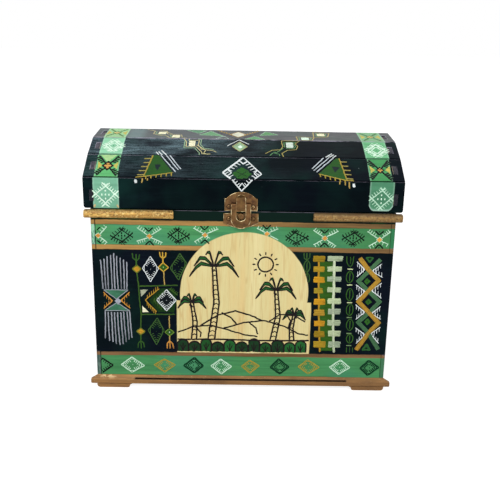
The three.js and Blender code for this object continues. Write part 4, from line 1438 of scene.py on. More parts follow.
SIDE_COMBS = (
    ((109.9, 137.2), (117.7, 129.2), (110.5, 121.7)), ((110.3, 113.4), (119.6, 106.3), (111.3, 97.5)),
    ((111.3, 92.5), (120.6, 84.5), (112.3, 76.7)), ((112.5, 67.7), (122.5, 59.9), (114.2, 50.4)),
    ((133.8, 135.3), (124.7, 127.7), (135.5, 121.5)), ((135.2, 115.5), (125.3, 107.9), (136.0, 99.6)),
    ((135.9, 90.8), (127.3, 83.0), (136.9, 77.3)), ((137.2, 68.7), (127.8, 61.2), (136.6, 50.9)),
)


BLOCK_ROWS = 3


def block(brush, box, colour):
    """A short bar of paint laid with level strokes."""
    left, top, right, bottom = box
    height = top - bottom
    for row in range(BLOCK_ROWS):
        level = bottom + height * (row + 0.5) / BLOCK_ROWS
        start = (left + 0.5 + brush.dice.uniform(-0.3, 0.3), level)
        end = (right - 0.5 + brush.dice.uniform(-0.5, 0.3), level)
        brush.line([start, end], height / BLOCK_ROWS * 1.6, colour, dry=0.14, tip=0.75)


def oval_link(brush, top, bottom, half, colour, width):
    """A long ring with a line down its middle."""
    x = (top[0] + bottom[0]) / 2
    y = (top[1] + bottom[1]) / 2
    up = (top[1] - bottom[1]) / 2
    halves = (arc((x, y), (half, up), first, first + 180, 8) for first in (90, 270))
    brush.lines(halves, width, colour, dry=0.2)
    brush.line([(x, y + up * 0.75), (x, y - up * 0.75)], width * 0.9, colour, dry=0.2)


def paint_right_panel(brush):
    """Barred columns, chains of links and a lattice on the dark paint right of the arch."""
    dim = "345E20"
    for x, foot in ((58.6, 140.6), (61.3, 138.2), (64.2, 140.6)):
        brush.line([(x, 145.4), (x, foot)], 1.3, DIM_GREEN, dry=0.25)
    brush.line([(58.6, 140.6), (61.4, 138.0), (64.2, 140.6)], 1.2, DIM_GREEN, dry=0.2)
    oval_link(brush, (61.6, 137.4), (62.0, 126.0), 3.0, DIM_GREEN, 1.25)
    brush.line([(62.1, 125.6), (64.4, 122.5), (64.9, 118.6), (64.0, 115.0)], 1.1, DIM_GREEN, dry=0.3)
    brush.line([(62.1, 125.6), (61.2, 121.6)], 1.1, DIM_GREEN, dry=0.2)
    brush.line([(62.2, 125.1), (62.9, 115.8)], 1.0, DIM_GREEN, dry=0.3)
    brush.fill([(74.0, 137.0), (87.0, 137.0), (88.6, 90.0), (91.8, 42.0), (79.0, 42.0), (75.4, 90.0)], LEAF)
    for boxes, tints in ((OCHRE_BLOCKS, OCHRE_TINTS), (PALE_BLOCKS, COLUMN_TINTS)):
        for order, box in enumerate(boxes):
            block(brush, box, tints[order % len(tints)])
    brush.line(OCHRE_STEM, 2.1, "B58A28")
    brush.line(PALE_STEM, 2.6, COLUMN)
    brush.lines((
        ((99.7, 142.6), (100.0, 137.0), (101.6, 133.0), (103.7, 132.0)),
        ((106.3, 142.7), (106.0, 137.0), (105.2, 133.2), (103.7, 132.0)),
    ), 1.1, dim, dry=0.2)
    brush.line([(103.5, 142.0), (103.6, 135.0)], 1.0, dim, dry=0.2)
    for left, top, right, bottom in OVALS:
        oval_link(brush, (left, top), (right, bottom), 3.3, dim, 1.15)
    for x in (105.0, 108.2, 111.0):
        brush.line([(x, 46.0), (x + 0.2, 40.3)], 1.0, dim, dry=0.25)
    for order, place in enumerate(DASHES):
        brush.dash(place, 2.6, 1.3, "C9D6A2" if order < 3 else "6F8B5E", dry=0.15)
    for side in SIDE_COMBS:
        comb_chevron(brush, *side, WHITE, 1.0, 4, 4.3, False)
    for chain, colour, width in ((GREEN_BAND, DULL_GREEN, 1.7), (OCHRE_BAND, "AC842F", 2.1)):
        for side in (-1, 0, 1):
            brush.line(beside(chain, 1.3 * side), width, colour, dry=0.16, tip=0.8, shake=0.05)
    for centre in BAND_HEARTS:
        brush.fill(lozenge(centre, 3.4, 3.7), "2C5C20")
        brush.dot(centre, 1.2, INK)
    for corners, eye in (
        (((118.2, 141.6), (125.5, 141.7), (122.0, 136.6)), (121.9, 140.2)),
        (((124.9, 50.4), (128.8, 43.3), (120.6, 43.3)), (124.8, 45.3)),
    ):
        brush.outline(corners, 1.3, "2B5E2B")
        brush.fill(corners, "24502A")
        brush.fill(lozenge(eye, 1.7, 1.3), INK)


SIDE_MIDDLE = 92.0
POLE_FOOT = 64.0
POLE_TOP = 120.0


def paint_side_panel(brush, middle):
    """A lozenge between two tridents on each side of the chest, and twice on its back."""
    comb_lozenge(brush, lozenge((middle, SIDE_MIDDLE), 15.0, 24.0), WHITE, 1.5, 6, 3.0)
    comb_lozenge(brush, lozenge((middle, SIDE_MIDDLE), 7.0, 11.0), FRAME_GREEN, 1.3, 3, 2.2)
    for x in (middle - 44.0, middle + 44.0):
        comb_lozenge(brush, lozenge((x, SIDE_MIDDLE), 10.0, 17.0), DIM_GREEN, 1.4, 5, 2.5)
    for x in (middle - 27.0, middle + 27.0):
        brush.line([(x, POLE_FOOT), (x + 0.5, SIDE_MIDDLE), (x, POLE_TOP)], 1.6, FRAME_GREEN)
        for level, turn in ((POLE_TOP, 1), (POLE_FOOT, -1)):
            prongs = [
                [(x + side * 3.0, level + turn * 2.6), (x + side * 3.6, level + turn * 8.0)]
                for side in (-1, 1)
            ]
            prongs.append([(x, level + turn * 8.0)])
            trident(brush, (x, level), prongs, GOLD, 1.4)
        bead(brush, (x + 0.4, SIDE_MIDDLE), 4.6, 4.4, OCHRE, BEAD_RIM, 1.2)


# The picture in the arch: palms over dunes, shrubs and a low sun

DUNES = (
    ((-63.0, 60.0), (-48.0, 66.5), (-30.0, 68.0), (-12.0, 63.0), (4.0, 58.0), (16.0, 56.6)),
    ((-18.0, 64.8), (2.0, 71.5), (22.0, 74.0), (42.0, 68.0), (56.0, 60.5), (66.0, 58.5)),
    ((-41.0, 67.4), (-24.0, 79.0), (-6.0, 84.0), (12.0, 78.0), (20.0, 73.6)),
    ((27.0, 73.4), (37.0, 80.5), (50.0, 81.0), (62.5, 73.0)),
    ((-20.0, 82.0), (-10.0, 76.0), (-5.0, 69.6)), ((6.0, 72.8), (14.0, 66.0), (16.0, 59.0)),
    ((-46.0, 66.6), (-40.0, 60.0), (-41.0, 55.0)), ((44.0, 80.8), (48.0, 74.0), (46.0, 66.4)),
)
PALMS = (
    ((-30.0, 52.0), (-25.0, 92.0), (-27.5, 130.0), 24.0, 2.6),
    ((-47.0, 53.0), (-46.0, 72.0), (-49.0, 92.0), 14.0, 2.0),
    ((31.0, 52.0), (35.5, 78.0), (33.0, 106.0), 20.0, 2.3),
    ((50.0, 52.0), (49.0, 66.0), (51.5, 80.0), 11.5, 1.8),
)
SHRUBS = (
    (-58.0, 5.6, 13.0), (-46.5, 6.2, 11.0), (-35.0, 5.4, 14.0), (-23.5, 6.4, 10.5), (-11.5, 5.8, 13.0),
    (0.5, 6.4, 11.0), (12.5, 5.6, 14.5), (24.0, 6.0, 10.5), (36.0, 6.2, 13.5), (48.0, 5.6, 11.0),
    (59.0, 5.4, 13.0),
)
SUN = ((22.0, 133.0), 7.5)


def leaf(brush, root, over, tip, width, colour):
    """A filled, bowed leaf with an inked rim."""
    spine = [root, toward(root, over, 0.5), over, toward(over, tip, 0.5), tip]
    upper = []
    lower = []
    for share, thickness in ((0.15, 0.55), (0.4, 1.0), (0.65, 0.9), (0.85, 0.5)):
        x, y = walk(spine, length_of(spine) * share)
        upper.append((x, y + thickness * width))
        lower.append((x, y - thickness * width * 0.9))
    brush.fill([root, *upper, tip, *reversed(lower)], colour, wobble=0.1)
    brush.ink([root, *upper, tip], 1.25, shake=0.06)
    brush.ink([root, *lower, tip], 1.25, shake=0.06)


def palm(brush, foot, waist, crown, reach, half):
    """A leaning ringed trunk with hanging leaves and a few dates."""
    path = [foot, waist, crown]
    for side in (-1, 1):
        edge = [(foot[0] + side * half * 1.25, foot[1]), (waist[0] + side * half, waist[1]),
                (crown[0] + side * half * 0.65, crown[1])]
        brush.ink(edge, 1.75)
    rungs = int(gap(foot, crown) / 4.6)
    for rung in range(1, rungs):
        x, y = walk(path, length_of(path) * rung / rungs)
        brush.ink([(x - half * 0.9, y - 0.7), (x, y + 0.7), (x + half * 0.9, y - 0.6)], 1.15)
    for angle in (4, 36, 70, 110, 144, 176):
        turn = math.radians(angle)
        lean = math.cos(turn)
        rise = math.sin(turn)
        tip = (crown[0] + lean * reach, crown[1] + rise * reach * 0.7 - abs(lean) * reach * 0.5)
        over = (crown[0] + lean * reach * 0.6, crown[1] + rise * reach * 0.62 + reach * 0.1)
        leaf(brush, crown, over, tip, 1.7, "1E5226")
    for x, y in ((-2.0, -2.4), (2.0, -2.6), (0.0, -3.6)):
        brush.dot((crown[0] + x, crown[1] + y), 1.9, LINE_INK)


def shrub(brush, x, half, height):
    """A round-headed shrub in dark green with an inked rim and two inked twigs."""
    foot = 39.4
    shoulder = foot + height - half
    crown = arc((x, shoulder), (half, half), 180, 0, 8)
    rim = [(x - half, foot), (x - half, shoulder), *crown, (x + half, foot)]
    shades = ("1B4A22", "16351D", "1F5A2A")
    brush.fill(rim, shades[brush.dice.randrange(len(shades))], wobble=0.25)
    brush.ink(rim, 1.8)
    for side in (-1, 1):
        brush.ink([(x, foot + 1.0), (x + side * half * 0.45, foot + height * 0.55)], 1.1)
    brush.ink([(x, foot), (x, foot + height * 0.72)], 1.2)


def paint_arch(brush):
    """Fine dark lines and green fills on the bare wood."""
    for ridge in DUNES:
        brush.ink(ridge, 1.7, shake=0.15)
    brush.ink([(-63.4, 52.4), (-20.0, 53.0), (20.0, 52.2), (67.2, 52.8)], 1.9)
    for sizes in PALMS:
        palm(brush, *sizes)
    for sizes in SHRUBS:
        shrub(brush, *sizes)
    centre, size = SUN
    brush.ink(arc(centre, (size, size), 0, 360, 18), 1.8)
    for order in range(12):
        turn = math.tau * order / 12
        ray = [(centre[0] + math.cos(turn) * reach, centre[1] + math.sin(turn) * reach)
               for reach in (size + 2.2, size + 5.2)]
        brush.ink(ray, 1.5)


# The lid's stripes, from the front board over the slats; each face has its own lengths

STRIPES = {
    "board": ((-140.5, -117.0), (117.4, 140.2)),
    "low": ((-139.4, -117.8), (117.2, 138.2)),
    "high": ((-139.0, -117.4), (116.6, 139.0)),
    "top": ((-139.5, -117.8), (116.3, 139.8)),
}


def stripe_board(brush, x, white):
    """A hairy lozenge whose lines cross, on the front board's stripe."""
    corners = [(x - 9.0, 13.7), (x + 0.3, 21.4), (x + 8.4, 13.7), (x - 0.6, 5.0)]
    left = x < 0
    width, over = (1.35, 5.0) if left else (1.15, 3.6)
    hairy_lozenge(brush, corners, white, width, over, 3.6, dots=MILK)
    if left:
        for edge, lean in ((-11.4, 1.2), (11.4, -1.2)):
            brush.line([(x + edge, 0.9), (x + edge + lean, 3.8)], 2.0, "C3A878")


LOW_MIDDLE = 17.0


def stripe_low(brush, x):
    """Black hairy arms round a bright lozenge, with yellow triangles at both sides."""
    if x < 0:
        brush.fill([(x - 8.4, 33.2), (x + 7.0, 33.2), (x - 0.4, 22.0)], "A3C98A")
    for side in (-1, 1):
        near = (x + side * 4.8, 17.2)
        brush.fill([(x + side * 9.6, 23.4), near, (x + side * 9.0, 11.8)], LEMON)
    centre = (x, LOW_MIDDLE)
    ends = [(x - 9.6, 32.2), (x + 9.0, 32.4), (x - 9.0, 2.4), (x + 9.4, 1.8)]
    for end in ends:
        brush.line([centre, end], 2.0, INK, dry=0.03)
        outward = -1 if (end[0] - x) * (end[1] - LOW_MIDDLE) > 0 else 1
        teeth(brush, centre, end, 4, square_to(centre, end, 4.4 * outward), 2.2, INK, 0.42, 0.86)
    size = 1.0 if x < 0 else 0.72
    brush.fill(lozenge(centre, 5.8 * size, 7.6 * size), INK, dry=0)
    for row in (-1, 0, 1):
        shift = row * 2.6 * size
        half = 3.2 * size - abs(shift) * 0.72
        brush.dash((x, LOW_MIDDLE + shift), half, 3.3 * size, AMBER, tip=0.7)


def stripe_high(brush, x, y, size):
    """Lozenges within one another whose dense white hairs cross."""
    for across, up, width in ((7.6, 10.0, 1.4), (4.4, 5.8, 1.1)):
        corners = lozenge((x, y), across * size, up * size)
        brush.outline(corners, width, MILK)
    for start, end in sides(corners):
        teeth(brush, start, end, 4, square_to(start, end, 3.4), 0.9, MILK, 0.1, 0.9)
    corners = lozenge((x, y), 7.6 * size, 10.0 * size)
    for start, end in sides(corners):
        for count, hair in ((7, 4.4), (5, 3.6)):
            teeth(brush, start, end, count, square_to(start, end, hair), 1.1, MILK, -0.05, 1.02)
    brush.dot((x, y), 1.6, TEAL)


def stripe_top(brush, x, middle):
    """Olive crossed strokes round a pale lozenge."""
    olive = "3E6A36"
    for side in (-1, 1):
        edge = x + side * 9.6
        brush.fill([(edge, middle + 9.5), (x + side * 5.0, middle), (edge, middle - 9.5)], LEMON)
    for side in (-1, 1):
        for up in (-1, 1):
            end = (x + side * 8.6, middle + up * 16.5)
            brush.line([(x, middle), end], 1.4, olive)
            teeth(brush, (x, middle), end, 5, (0, up * 4.0), 1.0, olive, 0.35, 0.95)
    brush.fill(lozenge((x, middle), 5.0, 7.6), olive)
    brush.fill(lozenge((x, middle), 3.4, 5.0), "E9C77E")
    brush.dash((x, middle), 1.8, 2.4, "EFCF8E")


# The lid's free motifs, on the front board (lengths from its foot) and on the slats

COMB_TRIANGLES = (
    {
        "side": -1, "apex": (-87.2, 34.0), "apex_end": (-81.6, 34.0),
        "outer": (-93.5, 1.8), "inner": (-66.7, 8.2), "base_start": (-100.9, 0.4),
        "dark": ((-85.1, 19.8), (-78.9, 20.1), (-81.2, 10.1)),
        "lines": (
            ((-79.8, 34.2), (-64.3, 9.2)), ((-74.7, 34.2), (-61.9, 12.4)), ((-71.3, 34.2), (-59.6, 13.5)),
        ),
        "above": (((-85.0, 6.1), (-81.9, 0.5)), ((-82.8, 6.9), (-78.6, 0.5)), ((-80.1, 8.9), (-74.8, 0.7))),
    },
    {
        "side": 1, "apex": (90.6, 34.0), "apex_end": (87.8, 34.0),
        "outer": (95.7, 0.6), "inner": (69.7, 9.8), "base_start": (102.0, 0.5),
        "dark": ((82.4, 21.6), (90.2, 20.0), (85.1, 12.3)),
        "lines": (((75.8, 34.2), (63.8, 17.3)), ((80.5, 34.0), (65.3, 14.6)), ((85.0, 34.2), (67.8, 12.3))),
        "above": (((84.6, 8.1), (77.8, 1.1)), ((86.4, 6.5), (80.4, 0.5)), ((88.5, 4.8), (84.6, 0.5))),
    },
)
DROPS = ((-101.0, 26.6), (101.9, 26.0))
SMALL_TEETH = (
    ((-94.2, 29.6), (-95.1, 25.2)), ((-89.7, 29.6), (-89.9, 27.4)), ((88.7, 29.6), (88.9, 26.8)),
    ((93.6, 29.6), (94.3, 25.9)), ((97.6, 29.6), (98.3, 22.9)),
)


def comb_triangle(brush, shape):
    """A green triangle with a gold side and foot that carry teeth, and white lines on its other side."""
    apex, outer, inner = shape["apex"], shape["outer"], shape["inner"]
    brush.fill([apex, outer, inner, shape["apex_end"]], "1B4B13")
    brush.fill(shape["dark"], "071B1E", wobble=0.3)
    brush.line([apex, outer], 1.5, LID_GOLD)
    brush.line([shape["base_start"], toward(outer, inner, 0.05), inner], 1.35, LID_GOLD)
    teeth(brush, apex, outer, 5, (shape["side"] * 6.4, -0.3), 1.7, "9A8E48", 0.16, 0.92)
    teeth(brush, outer, inner, 6, (0.2, -4.6), 1.25, LID_GOLD, 0.08, 0.95)
    brush.lines(shape["lines"], 1.25, "C0CAD2")


def paint_board(brush):
    """The tip of the white lozenge over the latch, two white drops and the teeth's ends."""
    tip = (-2.3, 18.6)
    for end, turn in (((-11.4, 29.8), 1), ((7.6, 29.8), -1)):
        brush.line([tip, end], 1.3, WHITE)
        tooth = square_to(tip, end, -3.4 * turn)
        teeth(brush, tip, end, 3, tooth, 0.85, WHITE, 0.5, 0.9)
    brush.line([(-5.3, 22.4), (-1.9, 26.2), (1.4, 22.6)], 1.2, WHITE)
    for place in DROPS:
        drop(brush, place, 2.9, 3.5, WHITE)
    brush.lines(SMALL_TEETH, 1.5, TAN)


def paint_low_slat(brush):
    """The comb triangles and the large lozenge with its green heart."""
    for shape in COMB_TRIANGLES:
        comb_triangle(brush, shape)
    left, top, right = (-20.3, 9.2), (-1.2, 33.0), (16.1, 8.0)
    left_foot, right_foot = (-12.6, 0.4), (9.4, 0.4)
    heart = [
        (-11.6, 8.4), (-6.6, 13.8), (-2.0, 17.6), (2.4, 14.2), (6.6, 7.4), (2.6, 1.2), (-6.4, 1.0),
    ]
    brush.fill(heart, "1C5216", wobble=0.4)
    for start, end, width, count in (
        (left, top, 2.1, 5), (top, right, 1.5, 5), (right, right_foot, 1.5, 2), (left_foot, left, 2.1, 2),
    ):
        brush.line([start, end], width, WHITE)
        teeth(brush, start, end, count, square_to(start, end, -5.0), 1.1, WHITE, 0.24, 0.78)
    brush.lines((
        ((-5.0, 27.8), (-1.0, 22.6), (3.2, 27.0)), ((-15.8, 15.0), (-12.2, 9.0), (-16.4, 4.4)),
        ((12.2, 14.0), (9.4, 8.6), (12.4, 4.0)),
    ), 1.5, WHITE)
    brush.lines((((-7.5, 12.0), (2.5, 4.5)), ((2.4, 12.0), (-6.0, 4.0))), 1.2, "0F3A12")


HIGH_ARMS = (
    ("gold", (20.2, 6.3), (26.8, 13.4), (34.9, 14.3), (37.6, 20.8), (36.3, 33.0),
     (46.5, 33.6), (52.5, 33.2)),
    ("gold", (37.4, 0.6), (36.1, 7.2), (41.9, 13.8), (50.4, 15.2), (52.2, 22.5), (49.5, 26.9), (55.0, 34.0)),
    ("green", (39.4, 19.6), (38.6, 29.4), (49.0, 30.6)),
    ("green", (40.4, 17.2), (48.6, 18.2), (50.0, 22.5), (47.4, 27.0), (50.6, 30.6)),
    ("green", (24.4, 2.5), (27.8, 8.2), (33.6, 5.4), (34.0, 1.9)),
    ("green", (28.0, 9.6), (31.0, 8.4), (37.7, 17.7)),
    ("gold", (-54.7, 33.8), (-54.7, 30.7), (-44.5, 31.3), (-45.2, 21.8), (-41.6, 12.7),
     (-30.2, 10.4), (-27.0, 7.4)),
    ("gold", (-59.8, 34.0), (-56.9, 27.3), (-56.9, 17.5), (-47.2, 18.0), (-41.3, 7.4),
     (-40.7, 3.8), (-32.6, 3.6)),
    ("green", (-58.8, 30.0), (-58.8, 15.0), (-48.4, 15.2), (-43.4, 5.4), (-43.4, 1.4)),
    ("green", (-46.0, 33.6), (-42.4, 32.6), (-43.2, 22.8), (-39.4, 15.0), (-29.6, 12.8)),
    ("gold", (-46.8, 21.6), (-37.7, 11.2), (-39.1, 5.1), (-34.8, 2.9)),
)
TOP_ARMS = (
    ("gold", (52.7, 1.0), (52.3, 17.6), (60.3, 16.8), (69.9, 14.2), (71.0, 41.0),
     (78.6, 39.5), (87.4, 37.0), (84.3, 19.2)),
    ("gold", (55.9, 0.8), (67.4, 1.0), (70.0, 14.3), (84.1, 19.1)),
    ("green", (54.6, 3.0), (55.0, 14.0), (66.8, 12.6), (66.0, 3.2)),
    ("green", (73.2, 21.0), (73.6, 36.6), (83.6, 35.0), (82.4, 22.0), (73.2, 21.0)),
    ("gold", (-100.1, 41.2), (-91.7, 34.7), (-92.0, 20.1), (-84.8, 12.3), (-79.1, 12.9),
     (-74.7, 2.6), (-70.1, 0.9)),
    ("gold", (-87.1, 36.3), (-79.8, 35.0), (-77.7, 19.5), (-63.5, 17.4), (-62.2, 6.3), (-57.0, 1.0)),
    ("green", (-89.6, 32.6), (-89.6, 20.6), (-83.6, 15.0)),
    ("green", (-74.6, 17.0), (-73.2, 5.2), (-66.0, 2.4)),
    ("gold", (-80.3, 33.1), (-76.0, 24.8), (-71.1, 16.9)),
)
# The paints of the arms on the high slat and on the top slat, left and right; the gold is paled to olive as
# a painted reflection, and the right ones are darker as painted shade
HIGH_ARM_PAINTS = {"gold": ("CDC590", "A99D58"), "green": ("93B38E", "5C8E5C")}
TOP_ARM_PAINTS = {"gold": ("BDB387", "B5A665"), "green": ("86A883", "6C9A68")}


def pale_block(brush, centre, across, up, colour):
    """A small block of pale paint laid with level strokes."""
    x, y = centre
    for row in range(BLOCK_ROWS):
        level = y - up + 2 * up * (row + 0.5) / BLOCK_ROWS
        brush.dash((x, level), across, 2 * up / BLOCK_ROWS * 1.35, colour, dry=0.05, tip=0.8)


def paint_high_slat(brush):
    """The small lozenge under its chevron, and the steps of the two arms."""
    brush.line([(-17.0, 20.3), (-5.5, 33.4)], 1.1, WHITE)
    brush.line([(-5.5, 33.4), (4.4, 24.6)], 1.4, WHITE)
    centre = (-4.6, 19.6)
    brush.fill(lozenge(centre, 6.6, 8.8), "8CAC86")
    # The rim's olive is gold paled as a painted reflection.
    brush.outline(lozenge(centre, 7.4, 9.8), 0.9, "B3AF74")
    brush.fill(lozenge((-4.4, 19.2), 2.3, 3.4), MILK)
    for shape in COMB_TRIANGLES:
        brush.lines(shape["above"], 1.4, WHITE)
    for paint, *path in HIGH_ARMS:
        brush.line(path, 1.05, HIGH_ARM_PAINTS[paint][path[0][0] > 0])
    pale_block(brush, (-51.3, 24.3), 3.1, 5.0, CREAM)
    pale_block(brush, (44.3, 24.1), 3.5, 5.2, "CAD9CE")


def paint_top_slat(brush, middle):
    """A large V round a pale lozenge, green triangles beside it and the arms' far steps."""
    far = TOP_WIDTH - 1.0
    outer, inner = (-6.2, 1.0), (-6.3, 9.7)
    for side in (-1, 1):
        lean = side * 27.0 / 43.5
        brush.line([outer, (outer[0] + lean * (far - outer[1]), far)], 2.0, "4A4B50", dry=0.02)
        end = (inner[0] + side * 20.0 * (far - inner[1]) / 31.0, far)
        brush.line([inner, end], 1.5, "9A7A3C")
        teeth(brush, inner, end, 6, (0, 5.0), 1.3, "A98A3E", 0.3, 0.9)
    centre = (outer[0], middle + 1)
    brush.fill(lozenge(centre, 8.0, 13.0), "CFD0BB")
    brush.outline(lozenge(centre, 8.4, 13.8), 1.1, "B58C50")
    for corners, colour in (
        (((-45.7, 18.7), (-20.9, 13.4), (-34.2, 38.4)), "5E9467"),
        (((-60.0, 41.6), (-46.0, 26.0), (-39.0, 41.0)), "4F8460"),
        (((15.6, 20.4), (34.4, 25.3), (22.0, 40.1)), "4F8A55"),
        (((0.4, 1.4), (10.5, 16.0), (20.2, 2.1)), "4F8E5A"),
    ):
        brush.fill(corners, colour)
        brush.outline(corners, 0.9, "A9C9B0")
    brush.outline([(-28.7, 1.6), (-20.9, 14.5), (-15.6, 1.6)], 1.0, "AEC6BC")
    for paint, *path in TOP_ARMS:
        brush.line(path, 1.15, TOP_ARM_PAINTS[paint][path[0][0] > 0])
    for centre, colour in (
        ((-83.4, 25.0), CREAM), ((78.0, 28.5), CREAM), ((-68.4, 9.4), CREAM), ((60.6, 8.4), MILK),
    ):
        pale_block(brush, centre, 3.8, 5.6, colour)


# Operators


class CHEST_OT_stage(Operator):
    """Sets the floor, the soft lamps and the camera."""

    bl_idname = "chest.stage"
    bl_label = "Set the stage"

    camera_place = Vector((-4.5, -832.7, 411.1)) * MM
    pitch = math.radians(19.47)
    yaw = math.radians(0.86)
    roll = math.radians(1.18)
    focal_share = 827.7 / 500

    def execute(self, context):
        scene = context.scene
        scene.view_settings.view_transform = "Standard"
        self.add_camera(scene)
        self.add_world(scene)
        self.add_floor()
        self.add_lamps()
        return {"FINISHED"}

    def add_camera(self, scene):
        camera = bpy.data.cameras.new("photo_camera")
        camera.sensor_width = 36
        camera.sensor_fit = "HORIZONTAL"
        camera.lens = camera.sensor_width * self.focal_share
        camera.clip_start = 0.01
        viewer = placed("photo_camera", camera)
        viewer.matrix_world = (
            Matrix.Translation(self.camera_place)
            @ Matrix.Rotation(-self.yaw, 4, "Z")
            @ Matrix.Rotation(math.pi / 2 - self.pitch, 4, "X")
            @ Matrix.Rotation(self.roll, 4, "Z")
        )
        scene.camera = viewer

    def add_world(self, scene):
        world = bpy.data.worlds.new("white_room")
        scene.world = world
        graph, seen = self.graph_and_view(world)
        strength = graph.add("ShaderNodeMapRange", values={"Value": seen, "To Min": 0.55, "To Max": 1.0})
        room = graph.add("ShaderNodeBackground", values={"Color": (1, 1, 1, 1), "Strength": strength})
        graph.add("ShaderNodeOutputWorld", values={"Surface": room})

    def graph_and_view(self, owner):
        """An empty tree of nodes, and in it a wire that is 1 to the camera and in gloss, else 0."""
        owner.use_nodes = True
        graph = Graph(owner.node_tree)
        camera_ray = graph.add("ShaderNodeLightPath", output="Is Camera Ray")
        return graph, camera_ray.most(Wire(graph, camera_ray.socket.node.outputs["Is Glossy Ray"]))

    def add_floor(self):
        mesh = bpy.data.meshes.new("floor")
        reach = 3.0
        corners = [(-reach, -reach, 0), (reach, -reach, 0), (reach, reach, 0), (-reach, reach, 0)]
        mesh.from_pydata(corners, [], [(0, 1, 2, 3)])
        floor = placed("floor", mesh)
        mesh.materials.append(self.floor_material())

    def floor_material(self):
        """White to the camera and in gloss, apart from a faint shadow; plain pale paper to other light."""
        material = bpy.data.materials.new("white_floor")
        graph, seen = self.graph_and_view(material)
        glow = graph.add("ShaderNodeEmission", values={"Color": (1, 1, 1, 1), "Strength": 0.86})
        shadow = graph.add("ShaderNodeBsdfDiffuse", values={"Color": (0.3, 0.3, 0.3, 1)})
        white = graph.add("ShaderNodeAddShader", values=[glow, shadow])
        paper = graph.add("ShaderNodeBsdfDiffuse", values={"Color": (0.85, 0.85, 0.85, 1)})
        surface = graph.add("ShaderNodeMixShader", values=[seen, paper, white])
        graph.add("ShaderNodeOutputMaterial", values={"Surface": surface})
        return material

    def add_lamps(self):
        for name, place, target, size, power in (
            ("key_lamp", (-0.5, -1.1, 1.3), (0, 0, 0.12), 1.1, 16.0),
            ("fill_lamp", (0.9, -1.0, 0.7), (0, 0, 0.12), 0.9, 6.0),
            ("back_lamp", (0.1, 0.9, 1.3), (0, 0, 0.15), 1.0, 8.0),
        ):
            data = bpy.data.lights.new(name, "AREA")
            data.size = size
            data.energy = power
            lamp = placed(name, data)
            lamp.location = place
            lamp.rotation_euler = (Vector(target) - Vector(place)).to_track_quat("-Z", "Y").to_euler()


class CHEST_OT_walls(Operator):
    """Dresses the four walls and the bottom in paint outside and bare plywood inside."""

    bl_idname = "chest.walls"
    bl_label = "Paint the walls"

    def execute(self, context):
        paints = context.scene.chest_paints
        edge = context.scene.chest_sizes.board_edge
        bare = bare_plywood(paints)
        front = wall_paint("front_paint", paints, arch=True)
        walls = wall_paint("wall_paint", paints, arch=False)
        for node, name, material, inward in (
            ("front_panel", "front_wall", front, (0, 1, 0)),
            ("back_panel", "back_wall", walls, (0, -1, 0)),
            ("left_panel", "left_wall", walls, (1, 0, 0)),
            ("right_panel", "right_wall", walls, (-1, 0, 0)),
        ):
            dress(node, name, "body", "painted_board", edge, [material, bare], Vector(inward))
        dress("bottom_panel", "floor_board", "body", "bare_plywood", edge, [bare])
        return {"FINISHED"}


class CHEST_OT_lid(Operator):
    """Dresses the lid's end panels and slats."""

    bl_idname = "chest.lid"
    bl_label = "Paint the lid"

    def execute(self, context):
        paints = context.scene.chest_paints
        edge = context.scene.chest_sizes.board_edge
        bare = bare_plywood(paints, "lid_plywood", corners=False)
        plain = lid_paint("end", paints, 0.02)
        tenon = tenon_paint("tenon_ends")
        for side, inward in (("left", 1), ("right", -1)):
            end = dress(
                f"lid_end_{side}", f"lid_end_{side}_painted", "lid", "painted_board", edge,
                [plain, bare, tenon], Vector((inward, 0, 0)),
            )
            for face in end.data.polygons:
                if abs(face.normal.x) < SIDEWAYS:
                    face.material_index = 2
        # Each board: its stripe paints at left and right, the right one darker as painted shade; its gloss;
        # its share of painted grey sheen on the left; and its noise shift.
        painted = {
            key: lid_paint(key, paints, gloss, STRIPES[key], tints, painted_sheen, shift)
            for key, tints, gloss, painted_sheen, shift in (
                ("board", ("70A68A", "487C5E"), 0.02, 0.0, 2.0),
                ("low", ("5CA86A", "458C56"), 0.01, 0.2, 3.1),
                ("high", ("88C29E", "66A878"), 0.008, 0.9, 4.7),
                ("top", ("84B87A", "629E6A"), 0.12, 0.2, 6.3),
            )
        }
        for node, key, angle in (
            ("lid_front_board", "board", math.pi / 2),
            ("lid_slat_front_low", "low", LOW_ANGLE),
            ("lid_slat_front_high", "high", HIGH_ANGLE),
            ("lid_slat_top", "top", 0),
            ("lid_slat_back_high", "high", -HIGH_ANGLE),
            ("lid_slat_back_low", "low", -LOW_ANGLE),
            ("lid_back_board", "board", -math.pi / 2),
        ):
            inward = Vector((0, math.sin(angle), -math.cos(angle)))
            # Every slat but the top one gets painted shade along its lower edges.
            dress(
                node, f"{node}_painted", "lid", "painted_board", edge, [painted[key], bare], inward,
                grimy_foot=key != "top", swell=SEAM_HALF if "slat_back" in node else 0.0,
            )
        return {"FINISHED"}


